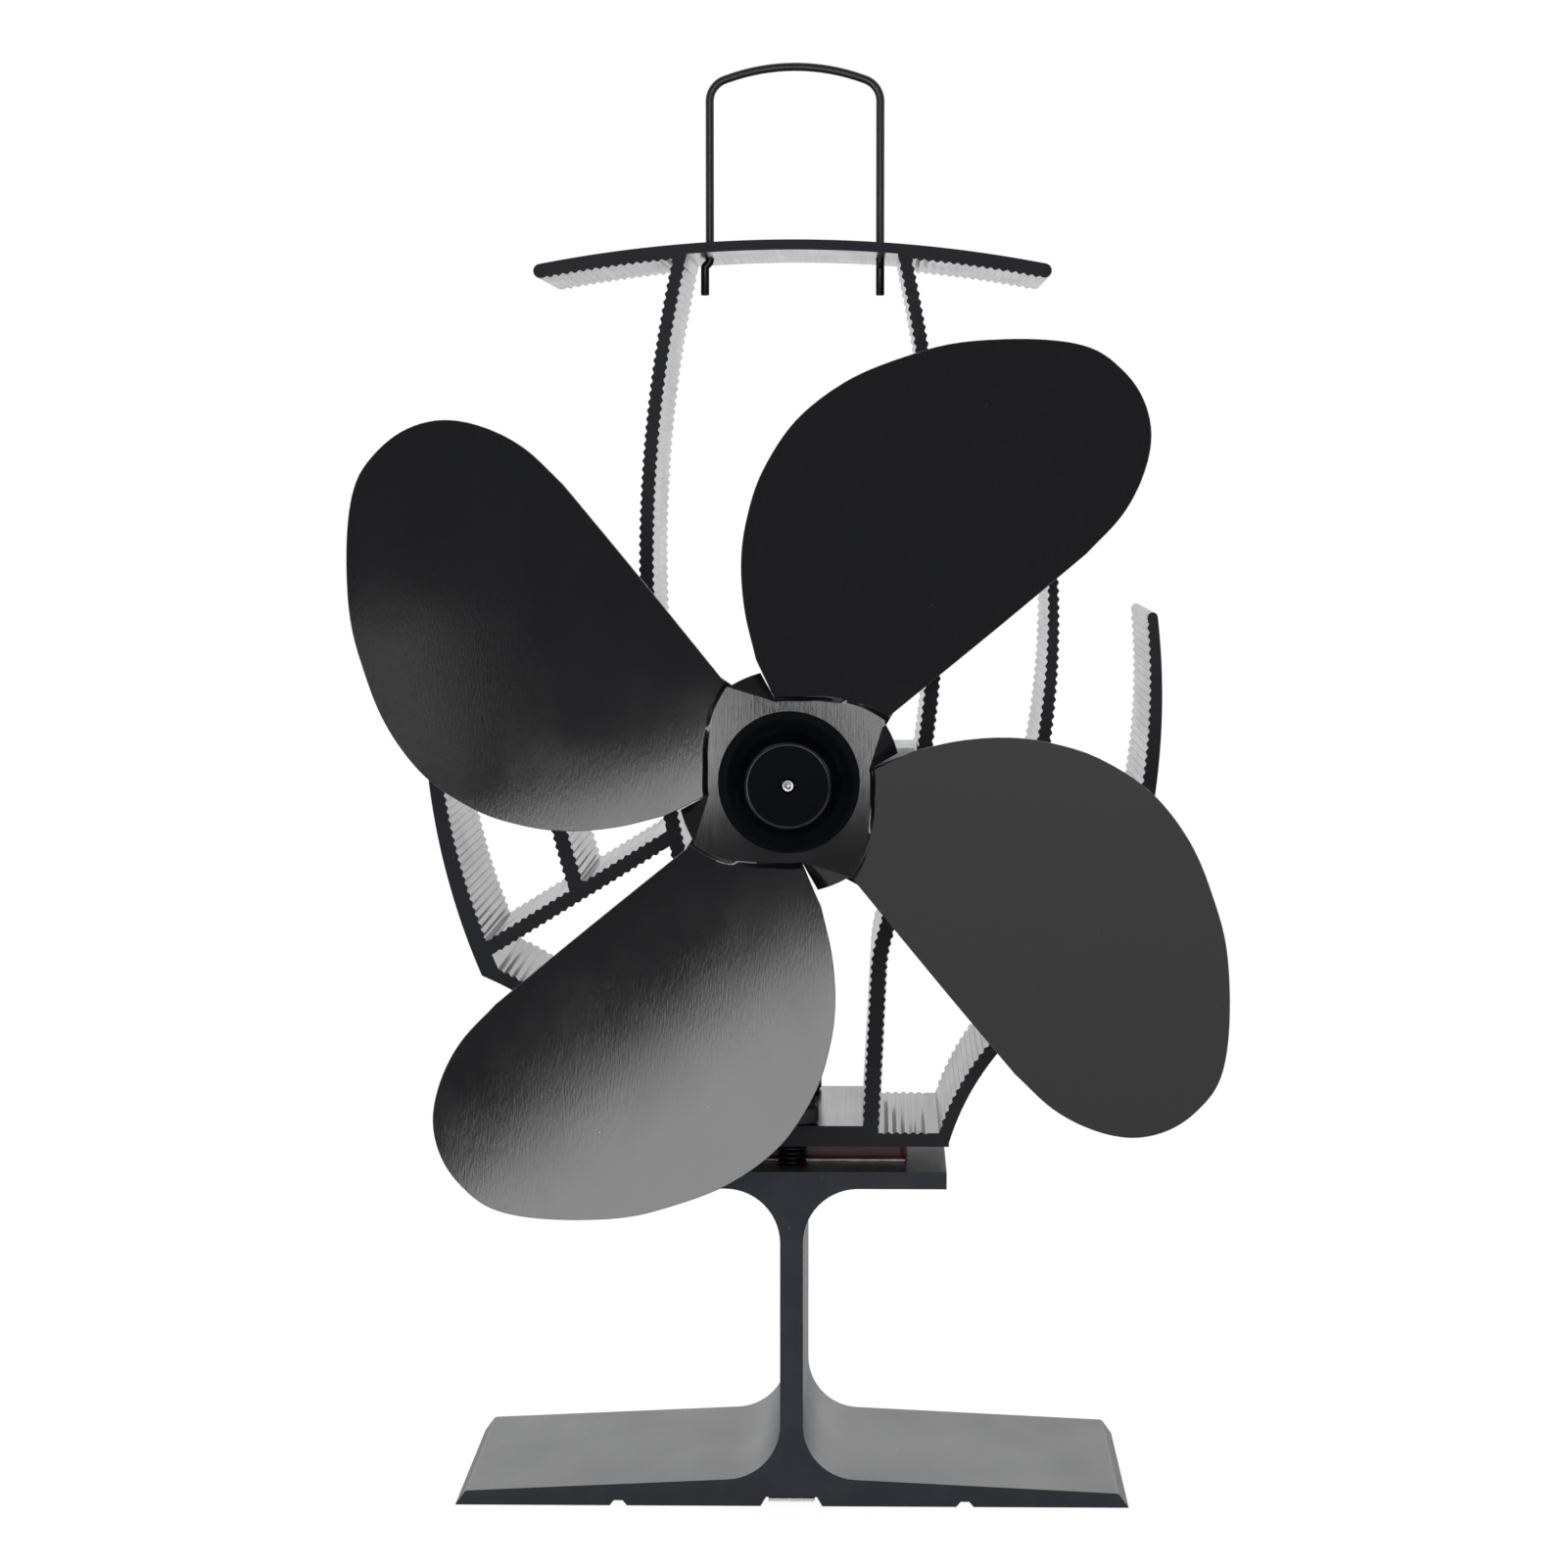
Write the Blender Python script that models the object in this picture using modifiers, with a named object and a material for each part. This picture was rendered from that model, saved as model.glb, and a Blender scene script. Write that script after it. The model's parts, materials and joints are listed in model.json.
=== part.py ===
"""Heat-powered stove fan: an extruded stand and heat sink clamp a thermoelectric
module, whose current turns a small motor and its four-blade rotor.

Every piece is drawn as seen from the front: x to the right, y up and z towards
the viewer. The empty named stove_fan_root turns that drawing upright, so that y
becomes world +Z and z becomes world -Y.
"""

import math

import bmesh
import bpy
from mathutils import Matrix, Vector
from mathutils.geometry import delaunay_2d_cdt

MM = 0.001

# Fits
GAP = 0.3 * MM
OVERRUN = 1.0 * MM
FLOOR_CLEARANCE = 0.05 * MM
SMOOTH_ANGLE = math.radians(35)
MERGE_DISTANCE = 0.01 * MM
SAME_POINT = 0.001 * MM

# Stand: one extruded I section, wide foot below and narrow flange above
STAND_DEPTH = 60.0 * MM
STAND_HEIGHT = 58.35 * MM
FOOT_WIDTH = 116.6 * MM
FOOT_EDGE_HEIGHT = 2.5 * MM
FOOT_EDGE_LEAN = 1.8 * MM
FOOT_EDGE_ROUND = 0.8 * MM
FOOT_ROOT_HEIGHT = 5.1 * MM
WEB_THICKNESS = 3.95 * MM
WEB_FILLET = 9.5 * MM
FLANGE_WIDTH = 53.4 * MM
FLANGE_THICKNESS = 2.95 * MM
CHANNEL_MOUTH_WIDTH = 10.7 * MM
CHANNEL_CEILING_WIDTH = 8.8 * MM
CHANNEL_DEPTH = 1.6 * MM
GROOVE_SPACING = 60.0 * MM
GROOVE_WIDTH = 3.0 * MM
GROOVE_DEPTH = 0.9 * MM

# Bimetal strip under the stand, which tips an overheated fan back
BIMETAL_WIDTH = 8.0 * MM
BIMETAL_LENGTH = 52.0 * MM
BIMETAL_THICKNESS = 0.5 * MM
RIVET_HEAD_RADIUS = 2.3 * MM
RIVET_SHANK_RADIUS = 1.2 * MM
RIVET_LENGTH = 4.0 * MM
RIVET_FROM_REAR = 10.0 * MM

# Thermoelectric module
MODULE_WIDTH = 40.2 * MM
MODULE_DEPTH = 36.0 * MM
MODULE_HEIGHT = 3.65 * MM
CERAMIC_THICKNESS = 0.7 * MM
SEAL_WALL = 1.1 * MM
SEAL_CORNER_RADIUS = 1.5 * MM
PELLET_SIZE = 4.2 * MM
PELLETS_PER_SIDE = 4
TAB_THICKNESS = 0.4 * MM
TAB_INSET = 0.15 * MM

# Heat sink: one extrusion of plates, legs and fins, most faces with fine teeth
SINK_DEPTH = 50.0 * MM
SINK_HEIGHT = 156.1 * MM
PLATE_WIDTH = 54.3 * MM
PLATE_THICKNESS = 2.4 * MM
PAD_THICKNESS = 3.6 * MM
TOOTH_PITCH = 1.43 * MM
TOOTH_DEPTH = 0.36 * MM
TOOTH_MARGIN = 1.1 * MM
CURVE_STEP = 5.0 * MM
LEG_ROOT_THICKNESS = 2.7 * MM
LEG_TOP_THICKNESS = 2.1 * MM
LEG_FOOT_SPACING = 27.0 * MM
LEG_KNEE_SPACING = 30.2 * MM
LEG_KNEE_HEIGHT = 33.5 * MM
LEG_KNEE_RADIUS = 25.0 * MM
LEG_KNEE_REACH = 8.0 * MM
LEG_TOP_SPACING = 37.8 * MM
LEG_BOW_RADIUS = 236.0 * MM
TOP_SPAN = 88.7 * MM
TOP_THICKNESS = 1.75 * MM
TOP_TIP_THICKNESS = 2.45 * MM
TOP_STEP = 0.5 * MM
TOP_RADIUS = 229.0 * MM
WALL_THICKNESS = 2.2 * MM
WALL_FOOT_SHARE = 0.45
WALL_RADIUS = 46.2 * MM
CORNER_SPACING = 104.4 * MM
CORNER_HEIGHT = 30.15 * MM
ARM_ROOT_THICKNESS = 3.1 * MM
ARM_TIP_THICKNESS = 1.8 * MM
ARM_TIP_SPACING = 123.6 * MM
ARM_TIP_HEIGHT = 91.6 * MM
ARM_RADIUS = 120.0 * MM
STRUT_THICKNESS = 2.5 * MM
STRUT_ARM_HEIGHT = 33.6 * MM
STRUT_LEG_HEIGHT = 54.1 * MM
FIN_ROOT_THICKNESS = 2.7 * MM
FIN_TIP_THICKNESS = 1.4 * MM
FIN_ROOT_SPACING = 73.8 * MM
FIN_TIP_SPACING = 87.5 * MM
FIN_TIP_HEIGHT = 110.0 * MM
FIN_RADIUS = 150.0 * MM

# Clamp screws, front and rear of the module
CLAMP_SCREW_RADIUS = 2.5 * MM
CLAMP_CLEARANCE = 0.7 * MM
CLAMP_HEAD_RADIUS = 4.75 * MM
CLAMP_HEAD_HEIGHT = 5.0 * MM
CLAMP_HEAD_ROUND = 0.5 * MM
CLAMP_SOCKET_RADIUS = 2.3 * MM
CLAMP_SOCKET_DEPTH = 2.6 * MM
CLAMP_GRIP = 5.9 * MM
INSULATOR_RADIUS = 4.5 * MM
INSULATOR_THICKNESS = 2.6 * MM
SPRING_WASHER_RADIUS = 4.1 * MM
SPRING_WASHER_THICKNESS = 1.4 * MM
SPRING_WASHER_SPLIT = 0.6 * MM

# Carrying handle, a wire loop that slides in two holes
WIRE_RADIUS = 0.74 * MM
WIRE_ROUNDNESS = 3
HANDLE_SPACING = 30.0 * MM
HANDLE_RISE = 32.1 * MM
HANDLE_CROWN_DROP = 2.1 * MM
HANDLE_CROWN_SPACING = 24.0 * MM
HANDLE_SHOULDER_RADIUS = 4.0 * MM
HANDLE_TAIL = 8.6 * MM
KINK_OFFSET = 0.85 * MM
KINK_LENGTH = 1.2 * MM

# Motor and the bracket that holds it between the legs
AXLE_RISE = 65.1 * MM
MOTOR_RADIUS = 12.0 * MM
MOTOR_LENGTH = 19.0 * MM
MOTOR_WALL = 0.8 * MM
MOTOR_BOSS_RADIUS = 3.2 * MM
MOTOR_BOSS_LENGTH = 1.6 * MM
MOUNT_FRONT = 30.0 * MM
MOUNT_DEPTH = 22.0 * MM
MOUNT_WALL = 2.3 * MM
MOUNT_LIP = 1.5 * MM
MOUNT_MOUTH_RADIUS = 4.2 * MM
EAR_HEIGHT = 8.8 * MM
EAR_SCREW_RADIUS = 1.5 * MM
EAR_SCREW_GRIP = 4.2 * MM
EAR_SCREW_HEAD_RADIUS = 2.8 * MM
EAR_SCREW_HEAD_HEIGHT = 1.9 * MM
FACE_SCREW_RADIUS = 1.25 * MM
FACE_SCREW_SPACING = 16.0 * MM
FACE_SCREW_HEAD_RADIUS = 2.1 * MM
FACE_SCREW_HEAD_HEIGHT = 1.5 * MM
SLOT_WIDTH = 0.6 * MM
SLOT_DEPTH = 0.7 * MM
CAP_PLUG_DEPTH = 2.0 * MM
CAP_FLANGE_THICKNESS = 1.5 * MM
CAP_BOSS_RADIUS = 3.6 * MM
CAP_BOSS_LENGTH = 1.6 * MM
BUSH_RADIUS = 2.4 * MM
BUSH_LENGTH = 2.8 * MM
SHAFT_RADIUS = 1.0 * MM
MAGNET_THICKNESS = 2.3 * MM
MAGNET_LENGTH = 10.5 * MM
MAGNET_SPAN = math.radians(126)
AIR_GAP = 0.5 * MM
ROTOR_CLEARANCE = 0.35 * MM
CORE_LENGTH = 8.5 * MM
CORE_POLES = 3
CORE_HUB_RADIUS = 2.3 * MM
POLE_SHOE_THICKNESS = 1.6 * MM
POLE_SHOE_SPAN = math.radians(92)
POLE_NECK_WIDTH = 3.0 * MM
WINDING_BUILD = 1.3 * MM
COMMUTATOR_RADIUS = 2.9 * MM
COMMUTATOR_LENGTH = 1.8 * MM
COMMUTATOR_SLIT = 0.3 * MM
COMMUTATOR_SLIT_DEPTH = 0.6 * MM
WASHER_RADIUS = 2.1 * MM
WASHER_THICKNESS = 0.3 * MM
BRUSH_WIDTH = 1.6 * MM
BRUSH_LENGTH = 2.4 * MM
TERMINAL_SPACING = 13.0 * MM
TERMINAL_WIDTH = 2.4 * MM
TERMINAL_THICKNESS = 0.5 * MM
TERMINAL_LENGTH = 3.4 * MM

# Rotor: stamped sheet with four blades, a moulded hub and a collar behind
HUB_FRONT = 60.0 * MM
HUB_HEIGHT = 8.4 * MM
HUB_FACE_RADIUS = 7.1 * MM
HUB_FACE_ROUND = 0.5 * MM
HUB_WAIST_RADIUS = 8.6 * MM
HUB_FOOT_RADIUS = 11.8 * MM
HUB_FOOT_THICKNESS = 0.5 * MM
HUB_FILLET = 3.0 * MM
HUB_SPIGOT_RADIUS = 4.0 * MM
SHAFT_PROUD = 0.2 * MM
COLLAR_RADIUS = 5.5 * MM
COLLAR_LENGTH = 6.0 * MM
GRUB_SCREW_RADIUS = 1.5 * MM
BLADE_COUNT = 4
BLADE_REACH = 87.5 * MM
BLADE_THICKNESS = 1.0 * MM
BLADE_PITCH = math.radians(12.4)
BLADE_AXIS = math.radians(56.5)
BLADE_HEEL = math.radians(40.9)
BEND_LENGTH = 2.4 * MM
BEND_ROWS = 4
CREASE_STEPS = 8
FLAP_BEND = math.radians(18)
OUTLINE_STEP = 4.0 * MM
EDGE_MARGIN = 0.4 * MM

# Blade outline as shares of the reach: along its straight edge, then across it
STRAIGHT_EDGE_SHARES = ((0.235, -0.031), (0.50, -0.039), (0.71, -0.043))
ROUND_EDGE_SHARES = (
    (0.71, -0.043), (0.81, -0.032), (0.89, 0.0), (0.95, 0.048), (0.982, 0.11), (0.987, 0.178),
    (0.967, 0.25), (0.90, 0.328), (0.79, 0.415), (0.695, 0.463), (0.58, 0.501), (0.46, 0.508),
    (0.351, 0.478), (0.272, 0.432), (0.208, 0.376), (0.152, 0.302), (0.107, 0.218),
)
# Where the blade bends away from the disc: angle in degrees, then share of the reach
CREASE_SHARES = ((33, 0.216), (50, 0.191), (60, 0.175), (80, 0.156), (99, 0.154))
DISC_RIM_SHARE = 0.214
SLIT_ROOT_ANGLE = math.radians(99)
SLIT_MOUTH_ANGLES = (math.radians(103.4), math.radians(104.8))
NOTCH_END_ANGLE = math.radians(120.5)

# Leads from the module to the motor: points of their routes, in drawing millimetres
LEAD_RADIUS = 0.65 * MM
LEAD_STEP = 6.0 * MM
POSITIVE_LEAD_ROUTE = (
    (-8.4, 60.2, -18.3), (-8.4, 60.2, -23.0), (-8.4, 61.6, -26.6), (-8.3, 65.5, -28.1),
    (-8.2, 76.0, -27.0), (-8.0, 95.0, -21.5), (-7.0, 115.0, -14.5), (-3.2, 129.5, -7.5),
    (-0.4, 133.5, -1.2), (0.0, 133.6, 3.7),
)
NEGATIVE_LEAD_ROUTE = (
    (-6.0, 60.2, -18.3), (-6.0, 60.2, -23.0), (-6.0, 61.6, -26.6), (-6.0, 65.5, -28.1),
    (-5.9, 76.0, -26.6), (-5.5, 92.0, -20.0), (-3.8, 108.0, -12.5), (-1.4, 118.0, -5.8),
    (-0.1, 120.5, -0.6), (0.0, 120.6, 3.7),
)

# Facets of round shapes
FINE_STEPS = 28
ROUND_STEPS = 20
SMALL_STEPS = 12
HEX_STEPS = 6
ARC_STEPS = 4
POLE_STEPS = 8

# Turns a round piece's own axis upright in the drawing
UPRIGHT = (-math.pi / 2, 0, 0)

# Sizes that follow from the ones above
STAND_FRONT = STAND_DEPTH / 2
SINK_FLOOR = STAND_HEIGHT + MODULE_HEIGHT
AXLE_HEIGHT = SINK_FLOOR + AXLE_RISE
SHAFT_TIP = HUB_FRONT + SHAFT_PROUD
FRAME_SHIFT = (SHAFT_TIP - STAND_FRONT) / 2
CLAMP_OFFSET = MODULE_DEPTH / 2 + CLAMP_CLEARANCE + CLAMP_SCREW_RADIUS
CAN_FRONT = MOUNT_FRONT - MOUNT_LIP - GAP
CAN_REAR = CAN_FRONT - MOTOR_LENGTH
CAN_INSIDE = MOTOR_RADIUS - MOTOR_WALL
CAP_FRONT = CAN_REAR + CAP_PLUG_DEPTH
CAP_REAR = CAN_REAR - GAP - CAP_FLANGE_THICKNESS
MAGNET_OUTSIDE = CAN_INSIDE - GAP
CORE_RADIUS = MAGNET_OUTSIDE - MAGNET_THICKNESS - AIR_GAP
SHAFT_BORE = SHAFT_RADIUS + GAP
FRONT_BUSH_FRONT = CAN_FRONT + MOTOR_BOSS_LENGTH - GAP
FRONT_BUSH_REAR = FRONT_BUSH_FRONT - BUSH_LENGTH
REAR_BUSH_FRONT = CAP_FRONT + GAP
REAR_BUSH_REAR = REAR_BUSH_FRONT - BUSH_LENGTH
SHAFT_REAR = REAR_BUSH_REAR - 2 * GAP
TERMINAL_REAR = CAP_REAR - TERMINAL_LENGTH
EAR_MIDDLE = MOUNT_FRONT - MOUNT_DEPTH / 2
LEG_TAPER = (LEG_TOP_THICKNESS - LEG_ROOT_THICKNESS) / SINK_HEIGHT
LEG_AT_AXLE = LEG_ROOT_THICKNESS + LEG_TAPER * AXLE_RISE
LEG_FACE = (LEG_AT_AXLE + TOOTH_DEPTH) / 2 + GAP
COMMUTATOR_REAR = REAR_BUSH_FRONT + WASHER_THICKNESS + 2 * GAP
COMMUTATOR_FRONT = COMMUTATOR_REAR + COMMUTATOR_LENGTH
CORE_REAR = COMMUTATOR_FRONT + WINDING_BUILD + 2 * ROTOR_CLEARANCE
CORE_FRONT = CORE_REAR + CORE_LENGTH
DISC_FRONT = HUB_FRONT - HUB_HEIGHT - GAP
DISC_REAR = DISC_FRONT - BLADE_THICKNESS
DISC_BORE = HUB_SPIGOT_RADIUS + GAP


# Scene

def collection(name, parent):
    """A new collection inside another."""
    found = bpy.data.collections.new(name)
    parent.children.link(found)
    return found


def empty(name, parent, where, turn=(0, 0, 0)):
    """An axis that pieces hang from."""
    found = bpy.data.objects.new(name, None)
    pieces.objects.link(found)
    found.parent = parent
    found.location = where
    found.rotation_euler = turn
    return found


for old in list(bpy.data.objects):
    bpy.data.objects.remove(old, do_unlink=True)
pieces = collection("stove_fan", bpy.context.scene.collection)
helpers = collection("stove_fan_helpers", bpy.context.scene.collection)
fan = empty("stove_fan_root", None, (0, FRAME_SHIFT, 0), (math.pi / 2, 0, 0))
axle = empty("axle_line", fan, (0, AXLE_HEIGHT, 0))
rotor = empty("rotor", fan, (0, AXLE_HEIGHT, 0))
grip = empty("handle_slide", fan, (0, SINK_FLOOR + SINK_HEIGHT, 0))


# Materials

def material(name, colour, roughness, metallic=0.0):
    """A plain surface of one colour, roughness and metallic value."""
    found = bpy.data.materials.new(name)
    found.use_nodes = True
    shader = found.node_tree.nodes["Principled BSDF"]
    shader.inputs["Base Color"].default_value = (*colour, 1.0)
    shader.inputs["Roughness"].default_value = roughness
    shader.inputs["Metallic"].default_value = metallic
    found.diffuse_color = (*colour, 1.0)
    return found


# Points and outlines

def polar(radius, angle):
    """The point at this radius and angle from the drawing's origin."""
    return Vector((radius * math.cos(angle), radius * math.sin(angle)))


def circle(radius, steps):
    """The corners of a regular polygon whose corners lie on the circle."""
    return [polar(radius, math.tau * i / steps) for i in range(steps)]


def rounded(corners):
    """An outline's or a path's points, with an arc at each corner that has a radius."""
    points = []
    for index, (x, y, radius) in enumerate(corners):
        corner = Vector((x, y))
        if radius == 0:
            points.append(corner)
            continue
        before = Vector(corners[index - 1][:2])
        after = Vector(corners[(index + 1) % len(corners)][:2])
        back = (before - corner).normalized()
        ahead = (after - corner).normalized()
        half_angle = back.angle(ahead) / 2
        centre = corner + (back + ahead).normalized() * radius / math.sin(half_angle)
        start = corner + back * radius / math.tan(half_angle) - centre
        end = corner + ahead * radius / math.tan(half_angle) - centre
        turn = start.angle_signed(end)
        for step in range(ARC_STEPS + 1):
            spin = Matrix.Rotation(-turn * step / ARC_STEPS, 2)
            points.append(centre + spin @ start)
    return points


def arc_between(start, end, radius):
    """Points along the circular arc from start to end that bulges to its right side."""
    start = Vector(start)
    end = Vector(end)
    chord = end - start
    half = chord.length / 2
    right = Vector((chord.y, -chord.x)).normalized()
    centre = (start + end) / 2 - right * math.sqrt(radius ** 2 - half ** 2)
    sweep = 2 * math.asin(half / radius)
    count = max(2, math.ceil(sweep * radius / CURVE_STEP))
    first = start - centre
    return [centre + Matrix.Rotation(sweep * i / count, 2) @ first for i in range(count + 1)]


def spline(points, step):
    """A smooth curve through the points, passed at an even pace."""
    count = len(points)
    found = []
    for index in range(count - 1):
        here = points[index]
        there = points[index + 1]
        before = points[index - 1] if index else here * 2 - there
        after = points[index + 2] if index + 2 < count else there * 2 - here
        pieces = max(1, round((there - here).length / step))
        for piece in range(pieces):
            t = piece / pieces
            found.append(0.5 * (
                here * 2
                + (there - before) * t
                + (before * 2 - here * 5 + there * 4 - after) * t ** 2
                + (here * 3 - before - there * 3 + after) * t ** 3
            ))
    found.append(points[-1])
    return found


def mirrored(points):
    """The same points on the other side of the drawing's upright centre line."""
    return [Vector((-point.x, point.y)) for point in points]


def between(table, at):
    """The value at a place in a table of (place, value) rows, on straight lines."""
    if at <= table[0][0]:
        return table[0][1]
    for (low, value), (high, following) in zip(table, table[1:]):
        if at <= high:
            return value + (following - value) * (at - low) / (high - low)
    return table[-1][1]


def smooth_step(share):
    """Rises from 0 to 1, level at both ends."""
    share = min(1, max(0, share))
    return share * share * (3 - 2 * share)


# Objects

def place(obj, paint, parent, where=(0, 0, 0), turn=(0, 0, 0)):
    """Hangs an object from its parent and gives it its surface."""
    obj.parent = parent
    obj.location = where
    obj.rotation_euler = turn
    if paint:
        obj.data.materials.append(paint)
    return obj


def add_mesh(name, mesh, helper=False):
    """Puts a mesh into the scene, as a piece or as a hidden helper."""
    obj = bpy.data.objects.new(name, mesh)
    if helper:
        helpers.objects.link(obj)
        obj.hide_render = True
        obj.display_type = "WIRE"
    else:
        pieces.objects.link(obj)
    return obj


def mesh_from_curve(curve, name):
    """The curve's surface as a closed mesh; the curve itself is removed."""
    holder = bpy.data.objects.new(name, curve)
    bpy.context.scene.collection.objects.link(holder)
    evaluated = holder.evaluated_get(bpy.context.evaluated_depsgraph_get())
    mesh = bpy.data.meshes.new_from_object(evaluated)
    bpy.data.objects.remove(holder)
    bpy.data.curves.remove(curve)
    closed = bmesh.new()
    closed.from_mesh(mesh)
    bmesh.ops.remove_doubles(closed, verts=closed.verts, dist=MERGE_DISTANCE)
    bmesh.ops.recalc_face_normals(closed, faces=closed.faces)
    closed.to_mesh(mesh)
    closed.free()
    mesh.name = name
    return mesh


def prism(name, outline, near, far):
    """A flat outline, drawn from the front and extruded in depth."""
    solid = bmesh.new()
    face = solid.faces.new([solid.verts.new((*point, near)) for point in outline])
    grown = bmesh.ops.extrude_face_region(solid, geom=[face])["geom"]
    moved = [part for part in grown if isinstance(part, bmesh.types.BMVert)]
    bmesh.ops.translate(solid, verts=moved, vec=(0, 0, far - near))
    bmesh.ops.recalc_face_normals(solid, faces=solid.faces)
    mesh = bpy.data.meshes.new(name)
    solid.to_mesh(mesh)
    solid.free()
    return mesh


def pierced_prism(name, outlines, near, far):
    """A flat outline and the holes in it, drawn from the front and extruded in depth."""
    curve = bpy.data.curves.new(name, "CURVE")
    curve.dimensions = "2D"
    curve.fill_mode = "BOTH"
    curve.extrude = (far - near) / 2
    for outline in outlines:
        line = curve.splines.new("POLY")
        line.points.add(len(outline) - 1)
        for point, (x, y) in zip(line.points, outline):
            point.co = (x, y, 0, 1)
        line.use_cyclic_u = True
    mesh = mesh_from_curve(curve, name)
    mesh.transform(Matrix.Translation((0, 0, (near + far) / 2)))
    return mesh


def tube(name, points, radius):
    """A round wire along the points."""
    curve = bpy.data.curves.new(name, "CURVE")
    curve.dimensions = "3D"
    curve.bevel_depth = radius
    curve.bevel_resolution = WIRE_ROUNDNESS
    curve.use_fill_caps = True
    line = curve.splines.new("POLY")
    line.points.add(len(points) - 1)
    for point, place_along in zip(line.points, points):
        point.co = (*place_along, 1)
    obj = bpy.data.objects.new(name, curve)
    pieces.objects.link(obj)
    return obj


def turned(name, profile, steps, closed=False, helper=False):
    """A profile of (radius, height) points, turned about its own upright axis."""
    mesh = bpy.data.meshes.new(name)
    count = len(profile)
    edges = [(i, i + 1) for i in range(count - 1)]
    if closed:
        edges.append((count - 1, 0))
    mesh.from_pydata([(radius, 0, height) for radius, height in profile], edges, [])
    obj = add_mesh(name, mesh, helper)
    screw = obj.modifiers.new("turn", "SCREW")
    screw.steps = steps
    screw.render_steps = steps
    screw.use_merge_vertices = True
    screw.merge_threshold = MERGE_DISTANCE
    return obj


def ring_profile(outside, inside, bottom, top):
    """A plain ring's section, down its outer side and up its inner side."""
    return [(inside, top), (outside, top), (outside, bottom), (inside, bottom)]


def rod_profile(radius, bottom, top, chamfer):
    """A chamfered rod's section, down its outer side from the axis to the axis."""
    slim = radius - chamfer
    return [(0, top), (slim, top), (radius, top - chamfer),
            (radius, bottom + chamfer), (slim, bottom), (0, bottom)]


def box_mesh(name, low, high):
    """A box between two opposite corners."""
    low = Vector(low)
    high = Vector(high)
    size = high - low
    solid = bmesh.new()
    stretch = Matrix.Diagonal((*size, 1))
    bmesh.ops.create_cube(solid, size=1, matrix=Matrix.Translation((low + high) / 2) @ stretch)
    mesh = bpy.data.meshes.new(name)
    solid.to_mesh(mesh)
    solid.free()
    return mesh


def rod_mesh(name, radius, start, end, steps):
    """A cylinder from start to end, for holes and plain pins."""
    start = Vector(start)
    end = Vector(end)
    way = end - start
    turn = Vector((0, 0, 1)).rotation_difference(way).to_matrix().to_4x4()
    solid = bmesh.new()
    bmesh.ops.create_cone(
        solid, cap_ends=True, segments=steps, radius1=radius, radius2=radius,
        depth=way.length, matrix=Matrix.Translation((start + end) / 2) @ turn,
    )
    mesh = bpy.data.meshes.new(name)
    solid.to_mesh(mesh)
    solid.free()
    return mesh


def boolean(obj, operation, mesh, parent, where=(0, 0, 0), turn=(0, 0, 0)):
    """Cuts a helper mesh from the object, or joins it on."""
    helper = add_mesh(mesh.name, mesh, helper=True)
    place(helper, None, parent, where, turn)
    change = obj.modifiers.new(mesh.name, "BOOLEAN")
    change.operation = operation
    change.solver = "EXACT"
    change.object = helper
    return obj


def join_on(obj, meshes, parent, where):
    """Joins several overlapping helper meshes onto the object."""
    group = collection(obj.name + "_parts", helpers)
    for mesh in meshes:
        helper = add_mesh(mesh.name, mesh, helper=True)
        place(helper, None, parent, where)
        helpers.objects.unlink(helper)
        group.objects.link(helper)
    change = obj.modifiers.new("join", "BOOLEAN")
    change.operation = "UNION"
    change.solver = "EXACT"
    change.operand_type = "COLLECTION"
    change.collection = group


def copies(obj, paint, parent, placements):
    """Puts named copies of a finished body in place of the one drawn at the origin."""
    evaluated = obj.evaluated_get(bpy.context.evaluated_depsgraph_get())
    mesh = bpy.data.meshes.new_from_object(evaluated)
    mesh.name = obj.name
    bpy.data.objects.remove(obj)
    mesh.materials.append(paint)
    for name, where, turn in placements:
        place(add_mesh(name, mesh), None, parent, where, turn)


def shade(obj):
    """Smooth shading on round faces, with the real edges kept sharp."""
    if obj.type == "MESH":
        obj.data.shade_smooth()
        obj.data.set_sharp_from_angle(angle=SMOOTH_ANGLE)


# Stand

def stand_outline():
    """The right half of the I section, mirrored to the left."""
    groove = GROOVE_SPACING / 2
    groove_half = GROOVE_WIDTH / 2
    groove_floor_half = GROOVE_WIDTH / 4
    foot_half = FOOT_WIDTH / 2
    web_half = WEB_THICKNESS / 2
    flange_half = FLANGE_WIDTH / 2
    under_flange = STAND_HEIGHT - FLANGE_THICKNESS
    half = rounded([
        (CHANNEL_CEILING_WIDTH / 2, CHANNEL_DEPTH, 0),
        (CHANNEL_MOUTH_WIDTH / 2, 0, 0),
        (groove - groove_half, 0, 0),
        (groove - groove_floor_half, GROOVE_DEPTH, 0),
        (groove + groove_floor_half, GROOVE_DEPTH, 0),
        (groove + groove_half, 0, 0),
        (foot_half, 0, 0),
        (foot_half - FOOT_EDGE_LEAN, FOOT_EDGE_HEIGHT, FOOT_EDGE_ROUND),
        (web_half, FOOT_ROOT_HEIGHT, WEB_FILLET),
        (web_half, under_flange, WEB_FILLET),
        (flange_half, under_flange, 0),
        (flange_half, STAND_HEIGHT, 0),
    ])
    return half + mirrored(reversed(half))


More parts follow.
